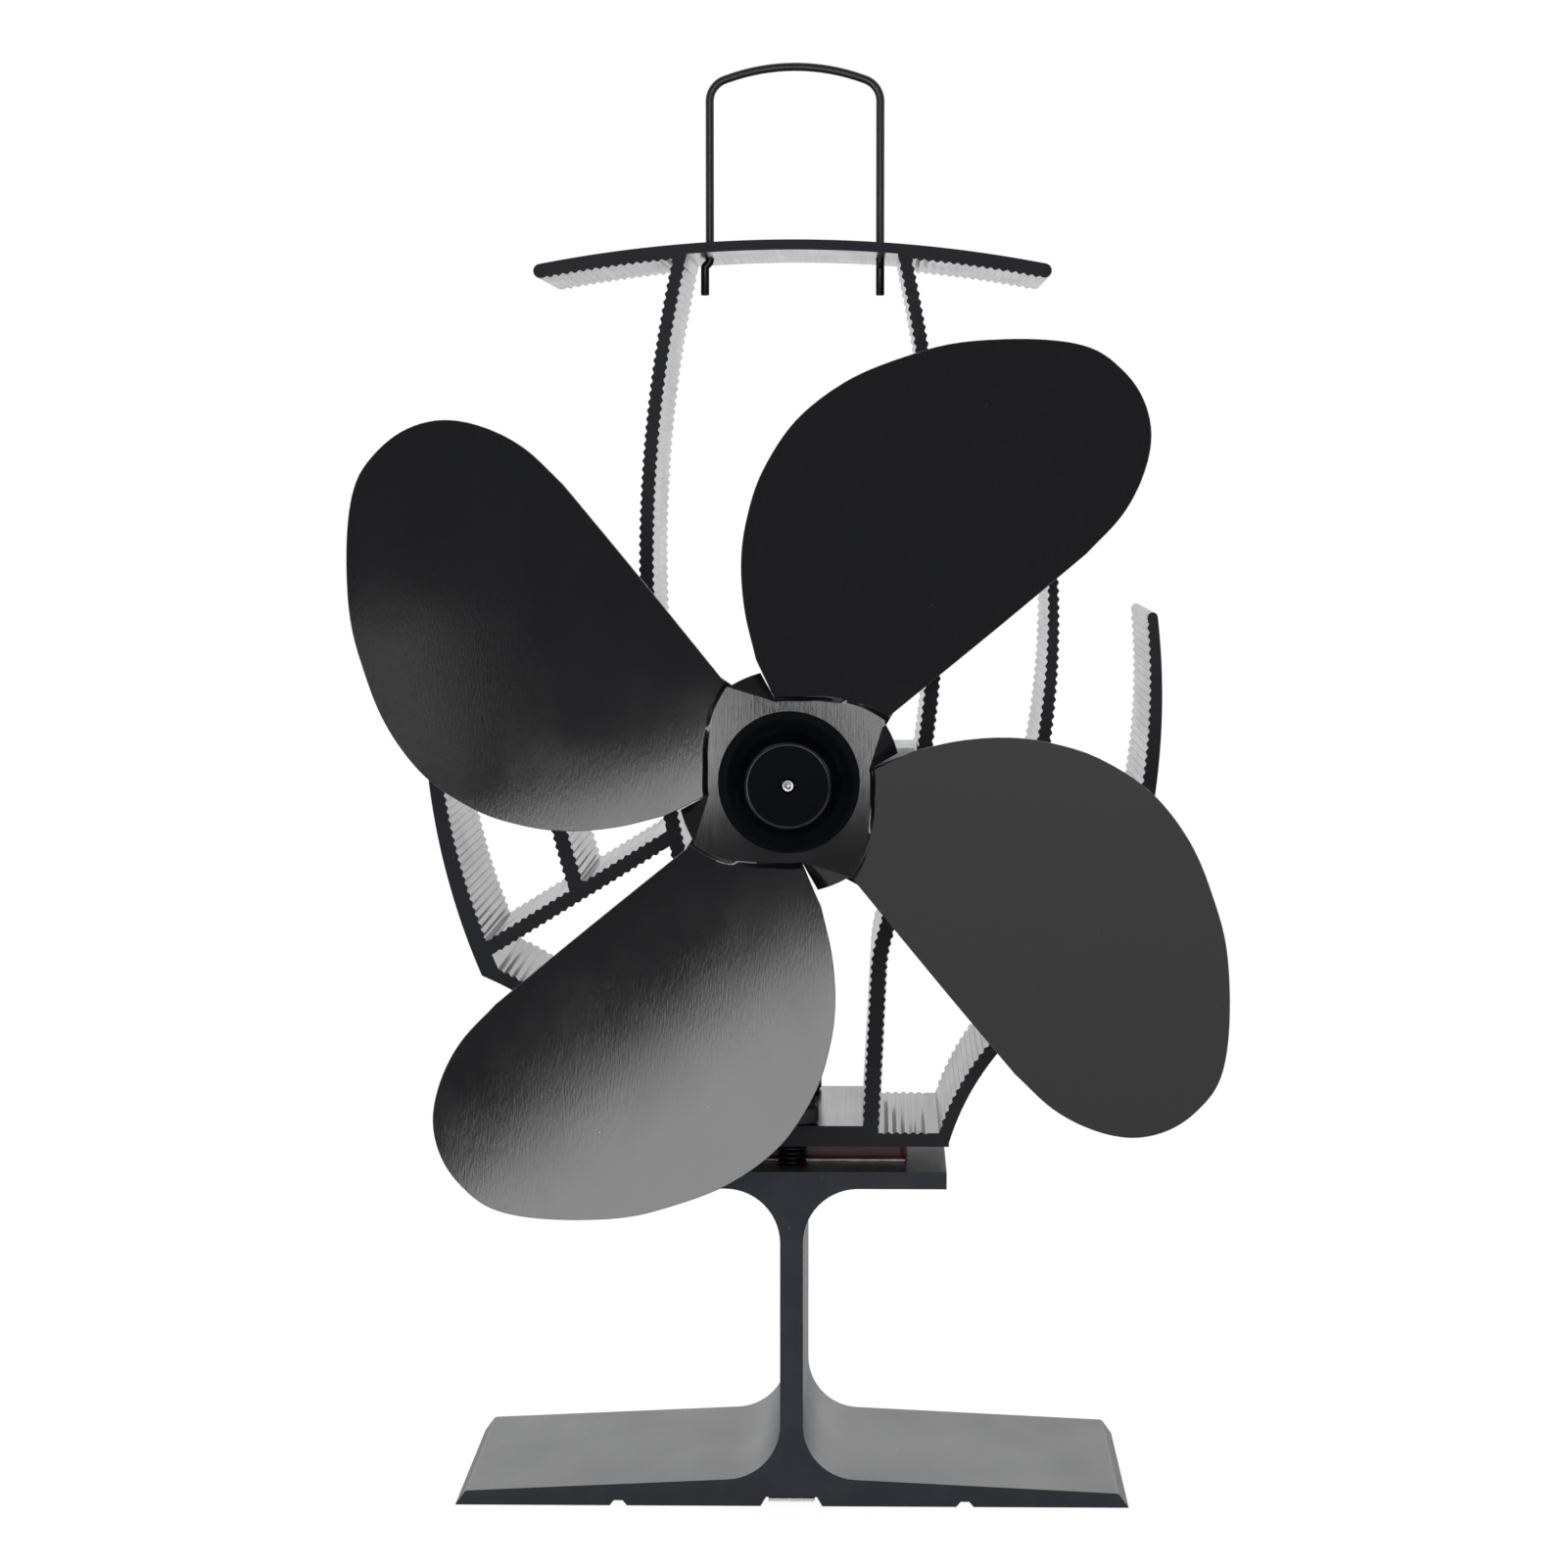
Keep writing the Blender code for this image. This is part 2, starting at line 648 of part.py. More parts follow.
def make_stand(paint):
    mesh = prism("stand", stand_outline(), -STAND_FRONT, STAND_FRONT)
    obj = place(add_mesh("stand", mesh), paint, fan)
    bottom = STAND_HEIGHT - CLAMP_GRIP - GAP
    for side, z in (("front", CLAMP_OFFSET), ("rear", -CLAMP_OFFSET)):
        hole = rod_mesh(f"{side}_clamp_hole", CLAMP_SCREW_RADIUS + GAP,
                        (0, bottom, z), (0, STAND_HEIGHT + OVERRUN, z), ROUND_STEPS)
        boolean(obj, "DIFFERENCE", hole, fan)
    rivet_z = RIVET_FROM_REAR - STAND_FRONT
    hole = rod_mesh("rivet_hole", RIVET_SHANK_RADIUS + GAP,
                    (0, CHANNEL_DEPTH - OVERRUN, rivet_z),
                    (0, FLOOR_CLEARANCE + RIVET_LENGTH + GAP, rivet_z), SMALL_STEPS)
    boolean(obj, "DIFFERENCE", hole, fan)
    shade(obj)


def make_bimetal(strip_paint, rivet_paint):
    top = CHANNEL_DEPTH - GAP
    under = top - BIMETAL_THICKNESS
    half = BIMETAL_WIDTH / 2
    front = STAND_FRONT - GAP
    rivet_z = RIVET_FROM_REAR - STAND_FRONT
    mesh = box_mesh("bimetal_strip", (-half, under, front - BIMETAL_LENGTH), (half, top, front))
    strip = place(add_mesh("bimetal_strip", mesh), strip_paint, fan)
    hole = rod_mesh("strip_hole", RIVET_SHANK_RADIUS + GAP, (0, under - OVERRUN, rivet_z),
                    (0, top + OVERRUN, rivet_z), SMALL_STEPS)
    boolean(strip, "DIFFERENCE", hole, fan)
    head_top = under - GAP
    profile = [
        (0, FLOOR_CLEARANCE + RIVET_LENGTH),
        (RIVET_SHANK_RADIUS, FLOOR_CLEARANCE + RIVET_LENGTH),
        (RIVET_SHANK_RADIUS, head_top),
        (RIVET_HEAD_RADIUS, head_top),
        (RIVET_HEAD_RADIUS, FLOOR_CLEARANCE),
        (0, FLOOR_CLEARANCE),
    ]
    rivet = turned("bimetal_rivet", profile, SMALL_STEPS)
    place(rivet, rivet_paint, fan, (0, 0, rivet_z), UPRIGHT)


# Thermoelectric module

def make_module(ceramic, pellet_paint, seal_paint):
    bottom = STAND_HEIGHT + GAP
    top = SINK_FLOOR - GAP
    wall_x = MODULE_WIDTH / 2
    wall_z = MODULE_DEPTH / 2
    inset = SEAL_WALL + GAP
    plate_x = wall_x - inset
    plate_z = wall_z - inset
    for name, low, high in (
        ("module_hot_plate", bottom, bottom + CERAMIC_THICKNESS),
        ("module_cold_plate", top - CERAMIC_THICKNESS, top),
    ):
        mesh = box_mesh(name, (-plate_x, low, -plate_z), (plate_x, high, plate_z))
        place(add_mesh(name, mesh), ceramic, fan)

    low = bottom + CERAMIC_THICKNESS + GAP
    high = top - CERAMIC_THICKNESS - GAP
    make_pellets(pellet_paint, plate_x, plate_z, low, high)

    inner_round = SEAL_CORNER_RADIUS - SEAL_WALL
    outlines = []
    for x, z, radius in (
        (wall_x, wall_z, SEAL_CORNER_RADIUS),
        (wall_x - SEAL_WALL, wall_z - SEAL_WALL, inner_round),
    ):
        outlines.append(rounded([(x, z, radius), (-x, z, radius), (-x, -z, radius), (x, -z, radius)]))
    seal = add_mesh("module_seal", pierced_prism("module_seal", outlines, bottom, top))
    place(seal, seal_paint, fan, (0, 0, 0), UPRIGHT)
    shade(seal)


def make_pellets(paint, plate_x, plate_z, low, high):
    """Pellets in a chain that runs to and fro, linked by turns above and below."""
    half = PELLET_SIZE / 2
    step_x = 2 * plate_x / PELLETS_PER_SIDE
    step_z = 2 * plate_z / PELLETS_PER_SIDE
    spots = []
    for row in range(PELLETS_PER_SIDE):
        columns = range(PELLETS_PER_SIDE)
        z = (row + 0.5) * step_z - plate_z
        spots += [((column + 0.5) * step_x - plate_x, z)
                  for column in (reversed(columns) if row % 2 else columns)]
    blocks = [box_mesh("pellet", (x - half, low, z - half), (x + half, high, z + half))
              for x, z in spots]
    slim = half - TAB_INSET
    for index, ((x, z), (next_x, next_z)) in enumerate(zip(spots, spots[1:])):
        bottom = low + TAB_INSET if index % 2 else high - TAB_INSET - TAB_THICKNESS
        blocks.append(box_mesh(
            "tab", (min(x, next_x) - slim, bottom, min(z, next_z) - slim),
            (max(x, next_x) + slim, bottom + TAB_THICKNESS, max(z, next_z) + slim)))
    chain = place(add_mesh("module_pellets", blocks[0]), paint, fan)
    join_on(chain, blocks[1:], fan, (0, 0, 0))


# Heat sink

def walk(path):
    """The distance of each point of a path from its start."""
    along = [0.0]
    for here, there in zip(path, path[1:]):
        along.append(along[-1] + (there - here).length)
    return along


def beside(path, along, distance, aside):
    """The point at this distance along the path and this far to its left."""
    index = 0
    while index < len(path) - 2 and along[index + 1] < distance:
        index += 1
    here = path[index]
    way = (path[index + 1] - here).normalized()
    return here + way * (distance - along[index]) + Vector((-way.y, way.x)) * aside


def rib_side(along, root, tip, stretches):
    """One side of a rib as (distance along, distance aside), toothed in the stretches."""
    quarter = TOOTH_PITCH / 4
    plain = list(along)
    toothed = []
    for start, end in stretches:
        count = int((end - start) / TOOTH_PITCH)
        last = start + count * TOOTH_PITCH
        plain = [at for at in plain if not start - quarter <= at <= last + quarter]
        plain += [start - quarter, last + quarter]
        for index in range(2 * count + 1):
            crest = TOOTH_DEPTH / 2 if index % 2 else -TOOTH_DEPTH / 2
            toothed.append((start + index * TOOTH_PITCH / 2, crest))
    taper = (tip - root) / along[-1]
    rows = toothed + [(at, 0) for at in plain]
    return sorted((at, (root + taper * at) / 2 + crest) for at, crest in rows)


def round_end(end, before, half, extra=0):
    """The points of a half circle round the end of a rib, from its right to its left.

    The extra thickness lies on the right, or on the left where it is negative.
    """
    way = (end - before).normalized()
    right = Vector((way.y, -way.x))
    centre = end + right * extra / 2
    radius = half + abs(extra) / 2
    return [centre + Matrix.Rotation(math.pi * step / ARC_STEPS, 2) @ (right * radius)
            for step in range(1, ARC_STEPS)]


def rib(path, root, tip, left=(), right=(), round_finish=False):
    """The outline of a rib that tapers along a path, toothed in stretches of its sides."""
    along = walk(path)
    outline = [beside(path, along, at, -aside)
               for at, aside in rib_side(along, root, tip, right)]
    if round_finish:
        outline += round_end(path[-1], path[-2], tip / 2)
    outline += [beside(path, along, at, aside)
                for at, aside in reversed(rib_side(along, root, tip, left))]
    return outline


def height_at(path, x):
    """The height at which a path crosses an upright line."""
    return between(sorted((point.x, point.y) for point in path), x)


def reach_at(path, height):
    """How far out a rising path is at a height."""
    return between([(point.y, point.x) for point in path], height)


def distance_at(path, height):
    """How far along a rising path a height lies."""
    return between([(point.y, at) for point, at in zip(path, walk(path))], height)


def mitred(path, thickness, other, other_thickness):
    """Two ribs' paths, the start of one and the end of the other drawn to their mitre.

    The mitre is where the ribs' outer faces cross.
    """
    way = (path[1] - path[0]).normalized()
    other_way = (other[-1] - other[-2]).normalized()
    turn = way.angle(other_way)
    lift = (thickness * math.cos(turn) - other_thickness) / (2 * math.sin(turn))
    reach = thickness * math.sin(turn) / 2 + lift * math.cos(turn)
    return [path[0] + way * lift, *path[1:]], [*other[:-1], other[-1] + other_way * reach]


def sink_paths():
    """The middle lines of the top plate and of the right half's ribs."""
    top_radius = TOP_RADIUS - TOP_THICKNESS / 2
    tip_x = (TOP_SPAN - TOP_TIP_THICKNESS) / 2
    tip_y = SINK_HEIGHT - TOP_RADIUS + math.sqrt(top_radius ** 2 - tip_x ** 2)
    top = arc_between((tip_x, tip_y), (-tip_x, tip_y), top_radius)
    leg_top_x = LEG_TOP_SPACING / 2
    knee = (LEG_KNEE_SPACING / 2, LEG_KNEE_HEIGHT)
    bow = arc_between(knee, (leg_top_x, height_at(top, leg_top_x)), LEG_BOW_RADIUS)
    turn = next(i for i, point in enumerate(bow) if (point - bow[0]).length > LEG_KNEE_REACH)
    leg = rounded([(LEG_FOOT_SPACING / 2, PLATE_THICKNESS / 2, 0),
                   (*knee, LEG_KNEE_RADIUS), (*bow[turn], 0)]) + bow[turn + 1:]
    corner = (CORNER_SPACING / 2, CORNER_HEIGHT)
    arm = arc_between(corner, (ARM_TIP_SPACING / 2, ARM_TIP_HEIGHT), ARM_RADIUS)
    wall_foot = (PLATE_WIDTH / 2 - WALL_FOOT_SHARE * WALL_THICKNESS, PLATE_THICKNESS / 2)
    wall = arc_between(corner, wall_foot, WALL_RADIUS)[::-1]
    arm, wall = mitred(arm, ARM_ROOT_THICKNESS, wall, WALL_THICKNESS)
    strut = [Vector((reach_at(arm, STRUT_ARM_HEIGHT), STRUT_ARM_HEIGHT)),
             Vector((reach_at(leg, STRUT_LEG_HEIGHT), STRUT_LEG_HEIGHT))]
    fin_x = FIN_ROOT_SPACING / 2
    fin = arc_between((fin_x, height_at(strut, fin_x)),
                      (FIN_TIP_SPACING / 2, FIN_TIP_HEIGHT), FIN_RADIUS)
    return {"top": top, "leg": leg, "arm": arm, "wall": wall, "strut": strut, "fin": fin}


def toothed(start, end):
    """A stretch for teeth, drawn in from where other ribs meet it."""
    return start + TOOTH_MARGIN, end - TOOTH_MARGIN


def sink_ribs(paths):
    """The outlines of the right half's ribs."""
    length = {name: walk(path)[-1] for name, path in paths.items()}
    leg_at_strut = distance_at(paths["leg"], STRUT_LEG_HEIGHT)
    arm_at_strut = distance_at(paths["arm"], STRUT_ARM_HEIGHT)
    strut_at_fin = (paths["fin"][0] - paths["strut"][0]).length
    leg_side = LEG_AT_AXLE / 2
    arm_side = ARM_ROOT_THICKNESS / 2
    strut_side = STRUT_THICKNESS / 2
    return {
        "leg": rib(
            paths["leg"], LEG_ROOT_THICKNESS, LEG_TOP_THICKNESS,
            left=[toothed(PAD_THICKNESS - PLATE_THICKNESS / 2, length["leg"])],
            right=[toothed(PLATE_THICKNESS / 2, leg_at_strut - strut_side),
                   toothed(leg_at_strut + strut_side, length["leg"])]),
        "arm": rib(
            paths["arm"], ARM_ROOT_THICKNESS, ARM_TIP_THICKNESS,
            left=[toothed(arm_at_strut + strut_side, length["arm"] + TOOTH_MARGIN / 2)],
            round_finish=True),
        "wall": rib(
            paths["wall"], WALL_THICKNESS, WALL_THICKNESS,
            left=[toothed(PLATE_THICKNESS / 2, length["wall"] - arm_side)]),
        "strut": rib(
            paths["strut"], STRUT_THICKNESS, STRUT_THICKNESS,
            left=[toothed(arm_side, length["strut"] - leg_side)],
            right=[toothed(arm_side, strut_at_fin),
                   toothed(strut_at_fin, length["strut"] - leg_side)]),
        "fin": rib(
            paths["fin"], FIN_ROOT_THICKNESS, FIN_TIP_THICKNESS,
            left=[toothed(strut_side, length["fin"] + TOOTH_MARGIN / 2)],
            right=[toothed(strut_side, length["fin"] + TOOTH_MARGIN / 2)],
            round_finish=True),
    }


def sink_plate():
    """The bottom plate's outline, toothed on top between the legs and the walls."""
    half = PLATE_WIDTH / 2
    leg_side = (LEG_FOOT_SPACING + LEG_ROOT_THICKNESS) / 2
    near = WALL_THICKNESS
    far = half - leg_side
    path = [Vector((-half, PLATE_THICKNESS / 2)), Vector((half, PLATE_THICKNESS / 2))]
    return rib(path, PLATE_THICKNESS, PLATE_THICKNESS,
               left=[toothed(near, far), toothed(PLATE_WIDTH - far, PLATE_WIDTH - near)])


def sink_top(path):
    """The top plate's outline, drawn from its right tip along its top and back below.

    Outside the legs the plate is thicker, and toothed underneath.
    """
    along = walk(path)
    half = TOP_THICKNESS / 2
    drop = TOP_TIP_THICKNESS - TOP_THICKNESS
    leg_at = between(sorted((point.x, at) for point, at in zip(path, along)),
                     LEG_TOP_SPACING / 2)
    leg_side = leg_at - LEG_TOP_THICKNESS / 2
    ends = [round_end(path[0], path[1], half, drop), round_end(path[-1], path[-2], half, -drop)]
    stretches = [toothed(-TOOTH_MARGIN / 2, leg_side),
                 toothed(along[-1] - leg_side, along[-1] + TOOTH_MARGIN / 2)]
    below = rib_side(along, TOP_THICKNESS, TOP_THICKNESS, stretches)
    for step in (leg_at - TOP_STEP / 2, leg_at + TOP_STEP / 2):
        below += [(step, half), (along[-1] - step, half)]
    outline = [beside(path, along, at, -half) for at in along] + ends[1]
    for at, aside in sorted(below, reverse=True):
        inward = (min(at, along[-1] - at) - leg_at) / TOP_STEP
        share = min(1, max(0, 1 / 2 - inward))
        outline.append(beside(path, along, at, aside + drop * share))
    return outline + ends[0]


def make_heat_sink(paint, paths):
    half = SINK_DEPTH / 2
    raised = (0, SINK_FLOOR, 0)
    obj = add_mesh("heat_sink", prism("heat_sink", sink_plate(), -half, half))
    place(obj, paint, fan, raised)
    pad_x = LEG_FOOT_SPACING / 2
    pad = [(-pad_x, 0), (pad_x, 0), (pad_x, PAD_THICKNESS), (-pad_x, PAD_THICKNESS)]
    outlines = {"pad": pad, "top_plate": sink_top(paths["top"])}
    for name, outline in sink_ribs(paths).items():
        outlines["right_" + name] = outline
        outlines["left_" + name] = mirrored(outline)
    meshes = [prism(name, outline, -half, half) for name, outline in outlines.items()]
    join_on(obj, meshes, fan, raised)
    cut_sink_holes(obj, paths)
    shade(obj)


def cut_sink_holes(obj, paths):
    raised = (0, SINK_FLOOR, 0)
    for side, way in (("front", 1), ("rear", -1)):
        z = way * CLAMP_OFFSET
        hole = rod_mesh(f"{side}_plate_hole", CLAMP_SCREW_RADIUS + GAP,
                        (0, -OVERRUN, z), (0, PAD_THICKNESS + OVERRUN, z), ROUND_STEPS)
        boolean(obj, "DIFFERENCE", hole, fan, raised)
    seat, way_out = ear_screw_line(paths["leg"])
    for side, way in (("left", -1), ("right", 1)):
        ends = [seat + way_out * reach for reach in (-LEG_AT_AXLE, LEG_AT_AXLE)]
        low, high = [(way * end.x, AXLE_RISE + end.y, EAR_MIDDLE) for end in ends]
        hole = rod_mesh(f"{side}_leg_hole", EAR_SCREW_RADIUS + GAP, low, high, SMALL_STEPS)
        boolean(obj, "DIFFERENCE", hole, fan, raised)
        x = way * HANDLE_SPACING / 2
        y = height_at(paths["top"], x)
        hole = rod_mesh(f"{side}_handle_hole", WIRE_RADIUS + GAP,
                        (x, y - TOP_THICKNESS, 0), (x, y + TOP_THICKNESS, 0), SMALL_STEPS)
        boolean(obj, "DIFFERENCE", hole, fan, raised)


def ear_screw_line(leg):
    """Where a bracket screw crosses the leg, about the axle, and the leg's outward normal."""
    x = reach_at(leg, AXLE_RISE)
    rise = Vector((reach_at(leg, AXLE_RISE + EAR_HEIGHT) - x, EAR_HEIGHT)).normalized()
    return Vector((x, 0)), Vector((rise.y, -rise.x))


# Clamp: two screws with insulating and spring washers

def ends_of_module(name, y):
    """Placements in front of and behind the module, standing at a height."""
    return [(f"{name}_front", (0, y, CLAMP_OFFSET), UPRIGHT),
            (f"{name}_rear", (0, y, -CLAMP_OFFSET), UPRIGHT)]


def make_clamps(screw_paint, insulator_paint, spring_paint):
    bore = CLAMP_SCREW_RADIUS + GAP
    insulator_y = SINK_FLOOR + PAD_THICKNESS + GAP
    spring_y = insulator_y + INSULATOR_THICKNESS + GAP
    head_y = spring_y + SPRING_WASHER_THICKNESS + GAP

    profile = ring_profile(INSULATOR_RADIUS, bore, 0, INSULATOR_THICKNESS)
    washer = turned("insulating_washer", profile, ROUND_STEPS, closed=True)
    copies(washer, insulator_paint, fan, ends_of_module("insulating_washer", insulator_y))

    profile = ring_profile(SPRING_WASHER_RADIUS, bore, 0, SPRING_WASHER_THICKNESS)
    spring = turned("spring_washer", profile, ROUND_STEPS, closed=True)
    half = SPRING_WASHER_SPLIT / 2
    split = box_mesh("washer_split", (0, -half, -OVERRUN),
                     (SPRING_WASHER_RADIUS + OVERRUN, half, SPRING_WASHER_THICKNESS + OVERRUN))
    boolean(spring, "DIFFERENCE", split, None)
    copies(spring, spring_paint, fan, ends_of_module("spring_washer", spring_y))

    profile = rounded([
        (0, CLAMP_HEAD_HEIGHT, 0), (CLAMP_HEAD_RADIUS, CLAMP_HEAD_HEIGHT, CLAMP_HEAD_ROUND),
        (CLAMP_HEAD_RADIUS, 0, 0), (CLAMP_SCREW_RADIUS, 0, 0),
        (CLAMP_SCREW_RADIUS, STAND_HEIGHT - CLAMP_GRIP - head_y, 0),
        (0, STAND_HEIGHT - CLAMP_GRIP - head_y, 0),
    ])
    screw = turned("clamp_screw", profile, ROUND_STEPS)
    socket = rod_mesh("clamp_socket", CLAMP_SOCKET_RADIUS,
                      (0, 0, CLAMP_HEAD_HEIGHT - CLAMP_SOCKET_DEPTH),
                      (0, 0, CLAMP_HEAD_HEIGHT + OVERRUN), HEX_STEPS)
    boolean(screw, "DIFFERENCE", socket, None)
    copies(screw, screw_paint, fan, ends_of_module("clamp_screw", head_y))


# Handle

def make_handle(paint, paths):
    """Drawn from the top plate's highest point, where the loop slides.

    Under the plate the left tail is kinked outwards and the right one to the rear.
    """
    x = HANDLE_SPACING / 2
    apex = HANDLE_RISE - WIRE_RADIUS
    crown_x = HANDLE_CROWN_SPACING / 2
    crown_y = apex - HANDLE_CROWN_DROP
    radius = (crown_x ** 2 + HANDLE_CROWN_DROP ** 2) / (2 * HANDLE_CROWN_DROP)
    crown = arc_between((crown_x, crown_y), (-crown_x, crown_y), radius)
    shoulder_y = crown_y - (x - crown_x) * math.tan(math.asin(crown_x / radius))
    right = rounded([(x, 0, 0), (x, shoulder_y, HANDLE_SHOULDER_RADIUS), (*crown[0], 0)])[1:-1]
    loop = right + crown + mirrored(reversed(right))
    kink = height_at(paths["top"], x) - SINK_HEIGHT - TOP_THICKNESS / 2 - GAP
    tail = [(0, 0), (kink, 0), (kink - KINK_LENGTH, KINK_OFFSET), (-HANDLE_TAIL, KINK_OFFSET)]
    points = [(x, y, -aside) for y, aside in reversed(tail)]
    points += [(*point, 0) for point in loop]
    points += [(-x - aside, y, 0) for y, aside in tail]
    place(tube("handle", points, WIRE_RADIUS), paint, grip)


# Motor bracket and motor, drawn about the axle

def mount_outline(leg):
    """A ring with an ear on each side that reaches the leaning leg."""
    ear = EAR_HEIGHT / 2
    radius = MOTOR_RADIUS + GAP + MOUNT_WALL
    root = math.asin(ear / radius)
    arch = [polar(radius, root + (math.pi - 2 * root) * step / ROUND_STEPS)
            for step in range(ROUND_STEPS + 1)]
    upper_x, lower_x = (reach_at(leg, AXLE_RISE + y) - LEG_FACE for y in (ear, -ear))
    sides = [Vector((-upper_x, ear)), Vector((-lower_x, -ear))]
    return arch + sides + [-point for point in arch] + mirrored(reversed(sides))


def make_mount(paint, paths):
    rear = MOUNT_FRONT - MOUNT_DEPTH
    mesh = prism("motor_mount", mount_outline(paths["leg"]), rear, MOUNT_FRONT)
    obj = place(add_mesh("motor_mount", mesh), paint, axle)
    shell = rod_mesh("mount_bore", MOTOR_RADIUS + GAP, (0, 0, rear - OVERRUN),
                     (0, 0, MOUNT_FRONT - MOUNT_LIP), FINE_STEPS)
    boolean(obj, "DIFFERENCE", shell, axle)
    mouth = rod_mesh("mount_mouth", MOUNT_MOUTH_RADIUS, (0, 0, rear),
                     (0, 0, MOUNT_FRONT + OVERRUN), ROUND_STEPS)
    boolean(obj, "DIFFERENCE", mouth, axle)
    seat, way_out = ear_screw_line(paths["leg"])
    for side, way in (("left", -1), ("right", 1)):
        ends = [seat + way_out * reach for reach in (-LEG_FACE - EAR_SCREW_GRIP - GAP, 0)]
        low, high = [(way * end.x, end.y, EAR_MIDDLE) for end in ends]
        hole = rod_mesh(f"{side}_ear_hole", EAR_SCREW_RADIUS + GAP, low, high, SMALL_STEPS)
        boolean(obj, "DIFFERENCE", hole, axle)
        x = way * FACE_SCREW_SPACING / 2
        hole = rod_mesh(f"{side}_lip_hole", FACE_SCREW_RADIUS + GAP,
                        (x, 0, CAN_FRONT), (x, 0, MOUNT_FRONT + OVERRUN), SMALL_STEPS)
        boolean(obj, "DIFFERENCE", hole, axle)
    shade(obj)


def make_mount_screws(paint, leg):
    seat, way_out = ear_screw_line(leg)
    head = seat + way_out * LEG_FACE
    lean = math.atan2(way_out.y, way_out.x)
    screw = slotted_screw("mount_screw", EAR_SCREW_RADIUS, EAR_SCREW_HEAD_RADIUS,
                          EAR_SCREW_HEAD_HEIGHT, 2 * LEG_FACE + EAR_SCREW_GRIP)
    copies(screw, paint, axle, [
        ("mount_screw_left", (-head.x, head.y, EAR_MIDDLE), (0, -math.pi / 2, -lean)),
        ("mount_screw_right", (head.x, head.y, EAR_MIDDLE), (0, math.pi / 2, lean)),
    ])


def slotted_screw(name, radius, head_radius, head_height, length):
    """A screw whose head stands on the origin and whose shank hangs below."""
    profile = rounded([
        (0, head_height, 0), (head_radius, head_height, head_height / 2), (head_radius, 0, 0),
        (radius, 0, 0), (radius, -length, 0), (0, -length, 0),
    ])
    screw = turned(name, profile, SMALL_STEPS)
    half = SLOT_WIDTH / 2
    reach = head_radius + OVERRUN
    slot = box_mesh(name + "_slot", (-half, -reach, head_height - SLOT_DEPTH),
                    (half, reach, head_height + OVERRUN))
    return boolean(screw, "DIFFERENCE", slot, None)


def make_face_screws(paint):
    head = MOUNT_FRONT + GAP
    tip = CAN_FRONT - MOTOR_WALL - GAP
    screw = slotted_screw("motor_screw", FACE_SCREW_RADIUS, FACE_SCREW_HEAD_RADIUS,
                          FACE_SCREW_HEAD_HEIGHT, head - tip)
    x = FACE_SCREW_SPACING / 2
    copies(screw, paint, axle, [
        ("motor_screw_left", (-x, 0, head), (0, 0, 0)),
        ("motor_screw_right", (x, 0, head), (0, 0, 0)),
    ])


def make_can(paint):
    bush = BUSH_RADIUS + GAP
    boss_top = CAN_FRONT + MOTOR_BOSS_LENGTH
    inside_top = CAN_FRONT - MOTOR_WALL
    profile = [
        (bush, boss_top), (MOTOR_BOSS_RADIUS, boss_top), (MOTOR_BOSS_RADIUS, CAN_FRONT),
        (MOTOR_RADIUS, CAN_FRONT), (MOTOR_RADIUS, CAN_REAR), (CAN_INSIDE, CAN_REAR),
        (CAN_INSIDE, inside_top), (bush, inside_top),
    ]
    obj = turned("motor_can", profile, FINE_STEPS, closed=True)
    place(obj, paint, axle)
    for side, way in (("left", -1), ("right", 1)):
        x = way * FACE_SCREW_SPACING / 2
        hole = rod_mesh(f"{side}_can_hole", FACE_SCREW_RADIUS + GAP,
                        (x, 0, inside_top - OVERRUN), (x, 0, CAN_FRONT + OVERRUN), SMALL_STEPS)
        boolean(obj, "DIFFERENCE", hole, axle)


def make_end_cap(paint):
    pocket = BUSH_RADIUS + GAP
    pocket_floor = REAR_BUSH_REAR - GAP
    bore_floor = SHAFT_REAR - GAP
    boss_rear = CAP_REAR - CAP_BOSS_LENGTH
    plug = CAN_INSIDE - GAP
    profile = [
        (0, bore_floor), (SHAFT_BORE, bore_floor), (SHAFT_BORE, pocket_floor),
        (pocket, pocket_floor), (pocket, CAP_FRONT), (plug, CAP_FRONT),
        (plug, CAN_REAR - GAP), (MOTOR_RADIUS, CAN_REAR - GAP), (MOTOR_RADIUS, CAP_REAR),
        (CAP_BOSS_RADIUS, CAP_REAR), (CAP_BOSS_RADIUS, boss_rear), (0, boss_rear),
    ]
    obj = place(turned("motor_end_cap", profile, FINE_STEPS), paint, axle)
    half = Vector((TERMINAL_WIDTH / 2 + GAP, TERMINAL_THICKNESS / 2 + GAP, 0))
    for side, way in (("lower", -1), ("upper", 1)):
        low = Vector((0, way * TERMINAL_SPACING / 2, CAP_REAR - OVERRUN)) - half
        high = Vector((0, way * TERMINAL_SPACING / 2, CAP_FRONT + OVERRUN)) + half
        boolean(obj, "DIFFERENCE", box_mesh(f"{side}_terminal_slot", low, high), axle)


def make_bushes(paint):
    for name, rear, front in (
        ("motor_front_bearing", FRONT_BUSH_REAR, FRONT_BUSH_FRONT),
        ("motor_rear_bearing", REAR_BUSH_REAR, REAR_BUSH_FRONT),
    ):
        profile = ring_profile(BUSH_RADIUS, SHAFT_BORE, rear, front)
        place(turned(name, profile, ROUND_STEPS, closed=True), paint, axle)


def half_turned(name, first, second, paint, mesh):
    """A body and its copy half a turn round the axle."""
    copies(add_mesh(name, mesh), paint, axle, [
        (f"{name}_{first}", (0, 0, 0), (0, 0, 0)),
        (f"{name}_{second}", (0, 0, 0), (0, 0, math.pi)),
    ])


